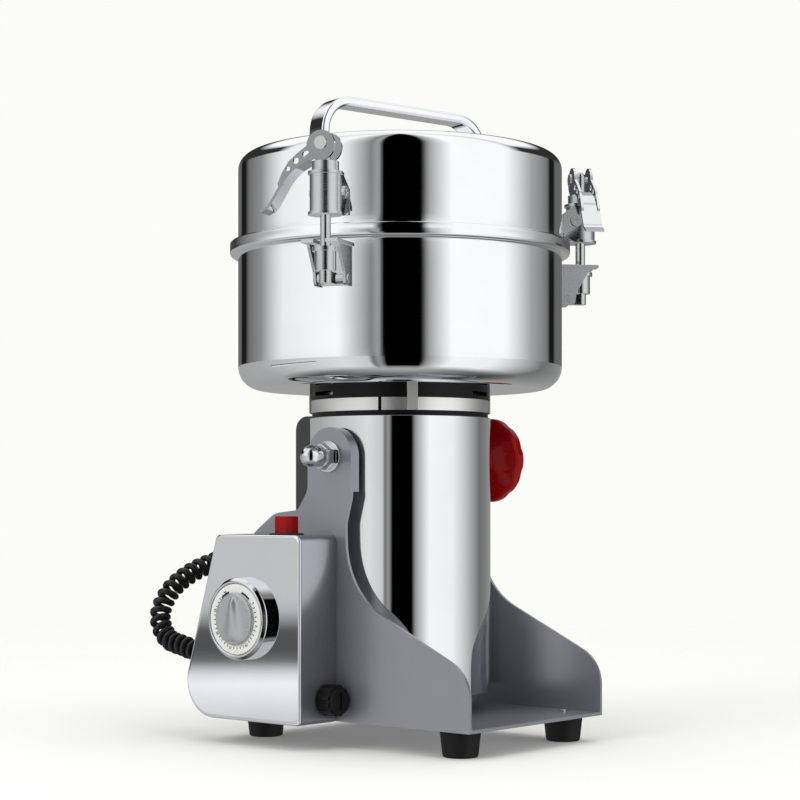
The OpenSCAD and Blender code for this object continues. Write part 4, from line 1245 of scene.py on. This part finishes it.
    def grip(self, paints: Paintbox) -> None:
        """The knob: a disc with a grip across it that narrows to a pointer at the top.

        The grip's height over the disc falls off as exp(-(across / width)^2.2), and its width shrinks towards
        the top.

        Args:
            paints: the finishes.
        """
        r = np.concatenate([np.linspace(0.01, 0.97, 44), np.linspace(0.975, 1.0, 6)]) * self.knob
        a = np.linspace(0, 2 * np.pi, 144, endpoint=False)
        y, z = r[:, None] * np.sin(a), r[:, None] * np.cos(a)
        width = self.grip_width[0] + self.grip_width[1] * np.clip((11.5 - z) / 20.0, 0.0, 1.0) ** 0.8
        crown = np.exp(-((np.abs(y) / width) ** 2.2)) * np.clip((13.2 - np.abs(z)) / 3.5, 0, 1) ** 0.6
        rim = 0.9 * (1 - np.clip((r[:, None] / self.knob - 0.9) / 0.1, 0, 1) ** 2)
        height = 0.3 + rim + self.grip_height * crown
        top = np.stack([-self.bezel_face - 0.4 - height, self.dial[0] + y, self.dial[1] + z], -1)
        foot = np.array(self.dial)[:, None] + self.knob * np.stack([np.sin(a), np.cos(a)])
        base = np.stack([np.full_like(a, -self.bezel_face - 0.2), *foot], -1)
        made = skin("knob_grip", np.concatenate([top, base[None]]), capped=True, angle=50)
        paints.fit(made, ["timer_knob"])

    def build(self, paints: Paintbox) -> None:
        """Makes the cover and the timer."""
        self.cover(paints)
        self.timer(paints)


# Clamp knob


@dataclass
class ClampKnob:
    """The red hand knob with finger flutes."""

    pivot: float = halfway("acorn_nut", Axis.Z)
    radius: float = half_width("clamp_knob", Axis.Y)
    foot: float = least("clamp_knob", Axis.X)
    flutes: int = 10
    flute_depth: float = 0.7
    # no flute reaches inside this radius
    hub: float = 13.0

    def build(self, paints: Paintbox) -> None:
        """A turned profile whose radius dips at each flute, by depth x ((1 + cos(n angle)) / 2)^3.

        Args:
            paints: the finishes.
        """
        r, h = self.radius, self.foot
        profile = fillet(
            [
                (0, h, 0), (12, h, 1), (12, h + 10, 3), (r - 8, h + 14, 2), (r - 1.5, h + 18, 2),
                (r, h + 20, 1.5), (r, h + 25, 2.5), (r - 5, h + 30, 3), (r - 12, h + 32, 4),
                (r - 14, h + 31.2, 1), (0, h + 31, 0),
            ],
            6,
            closed=False,
        )
        a = np.linspace(0, 2 * np.pi, 240, endpoint=False)
        dip = ((1 + np.cos(self.flutes * a)) / 2) ** 3
        share = np.clip((profile[:, :1] - self.hub) / (r - self.hub), 0, 1)
        radius = profile[:, :1] - self.flute_depth * share * dip
        grid = placed(radius * np.sin(a), self.pivot + radius * np.cos(a), profile[:, 1:], Axis.X)
        paints.fit(skin("clamp_grip", grid, angle=50), ["clamp_knob"])


# The rest, refined from the frame


# a latch's pieces, with the rounding of their edges in mm
LATCH_EDGES = {"tension_rod": 0.3, "latch_sleeve": 0.3, "cross_screw": 0.2, "cam_lever": 0.35}


@dataclass
class Fittings:
    """Pieces that keep their CAD form, with the rounding of their edges in mm, and the sealed inner ones."""

    edges: dict = field(
        default_factory=lambda: {
            "base_frame": 1.0, "rubber_feet": 1.2, "foot_screws": 0.4, "pivot_bushes": 0.2,
            "pivot_washer": 0.3, "control_box": 1.4, "button_housing": 0.4, "power_button": 0.7,
            "fuse_holder": 0.2, "fuse_cap": 0.5, "box_glands": 0.5, "bottom_cap": 0.4,
            "terminal_cover": 1.0, "cover_screws": 0.3, "motor_gland": 0.5, "pivot_stud": 0.2,
            "acorn_nut": 0.35, "clamp_boss": 0.3, "clamp_screw": 0.2, "end_frame": 0.4, "neck_ring": 0.25,
            "shaft_seal": 0.2, "blades": 0.15, "blade_nut": 0.3, "bowl_screws": 0.2, "latch_brackets": 0.3,
            "bracket_pins": 0.25, "lid_gasket": 0.3, "lid_lugs": 0.25,
            **{f"{kind}_{n}": edge for kind, edge in LATCH_EDGES.items() for n in (1, 2, 3)},
        }
    )
    # painted light on the neck ring, and painted shade on the terminal cover
    others: dict = field(default_factory=lambda: {"neck_ring": ZINC_PAINTED_LIGHT, "terminal_cover": SHADED_LACQUER})
    # where a lever's strip begins, in mm from its pin
    strap_from: float = 10.5
    # small pieces that the studio's large cards wash out of the bowl's reflections
    unmirrored: tuple = (*LATCH_EDGES, "latch_brackets", "bracket_pins", "power_button")

    def strap(self, made: Piece, pin: str, paints: Paintbox) -> None:
        """Dulls the broad faces of a lever's strip: those far from its pin that don't face along the pin.

        Args:
            made: the lever.
            pin: the node of the screw that it turns on.
            paints: the finishes.
        """
        made.data.materials.append(paints.of(DULL_STEEL))
        middle = np.mean(np.array(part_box(pin), float), axis=0)
        centres, normals = np.empty((2, len(made.data.polygons) * 3))
        made.data.polygons.foreach_get("center", centres)
        made.data.polygons.foreach_get("normal", normals)
        far = np.linalg.norm(centres.reshape(-1, 3) - middle, axis=1) > self.strap_from * MM
        broad = np.abs(normals.reshape(-1, 3) @ unit(np.array([-middle[1], middle[0], 0.0]))) < 0.5
        made.data.polygons.foreach_set("material_index", (far & broad).astype(np.int32))

    def build(self, paints: Paintbox) -> None:
        """Refines the listed nodes and gives the others their slot's finish.

        Args:
            paints: the finishes.
        """
        for node, edge in self.edges.items():
            made = paints.refine(node, edge)
            if node in self.others:
                paints.coat(made, self.others[node])
            if node.startswith("cam_lever"):
                self.strap(made, node.replace("cam_lever", "cross_screw"), paints)
            if node.startswith(self.unmirrored):
                made.visible_glossy = False
        for node, shown in frame["nodes"].items():
            if not shown.hide_render:
                paints.coat(shown, FINISHES[SLOT_OF[node]])
                log.info("%s keeps its CAD mesh", node)


def main() -> None:
    """Builds the studio, then every sub-assembly."""
    logging.basicConfig(level=logging.INFO, format="%(message)s")
    paints = Paintbox()
    studio = Studio()
    studio.build()
    CurlyLead().build(paints)
    for part in (Bowl(), Lid(), MotorTube(), ControlBox(), ClampKnob(), Fittings()):
        part.build(paints)
        log.info("%s built", type(part).__name__)
    studio.lamp(*studio.side_lamp, bpy.data.objects["control_box_fine"])


if __name__ == "__main__":
    main()
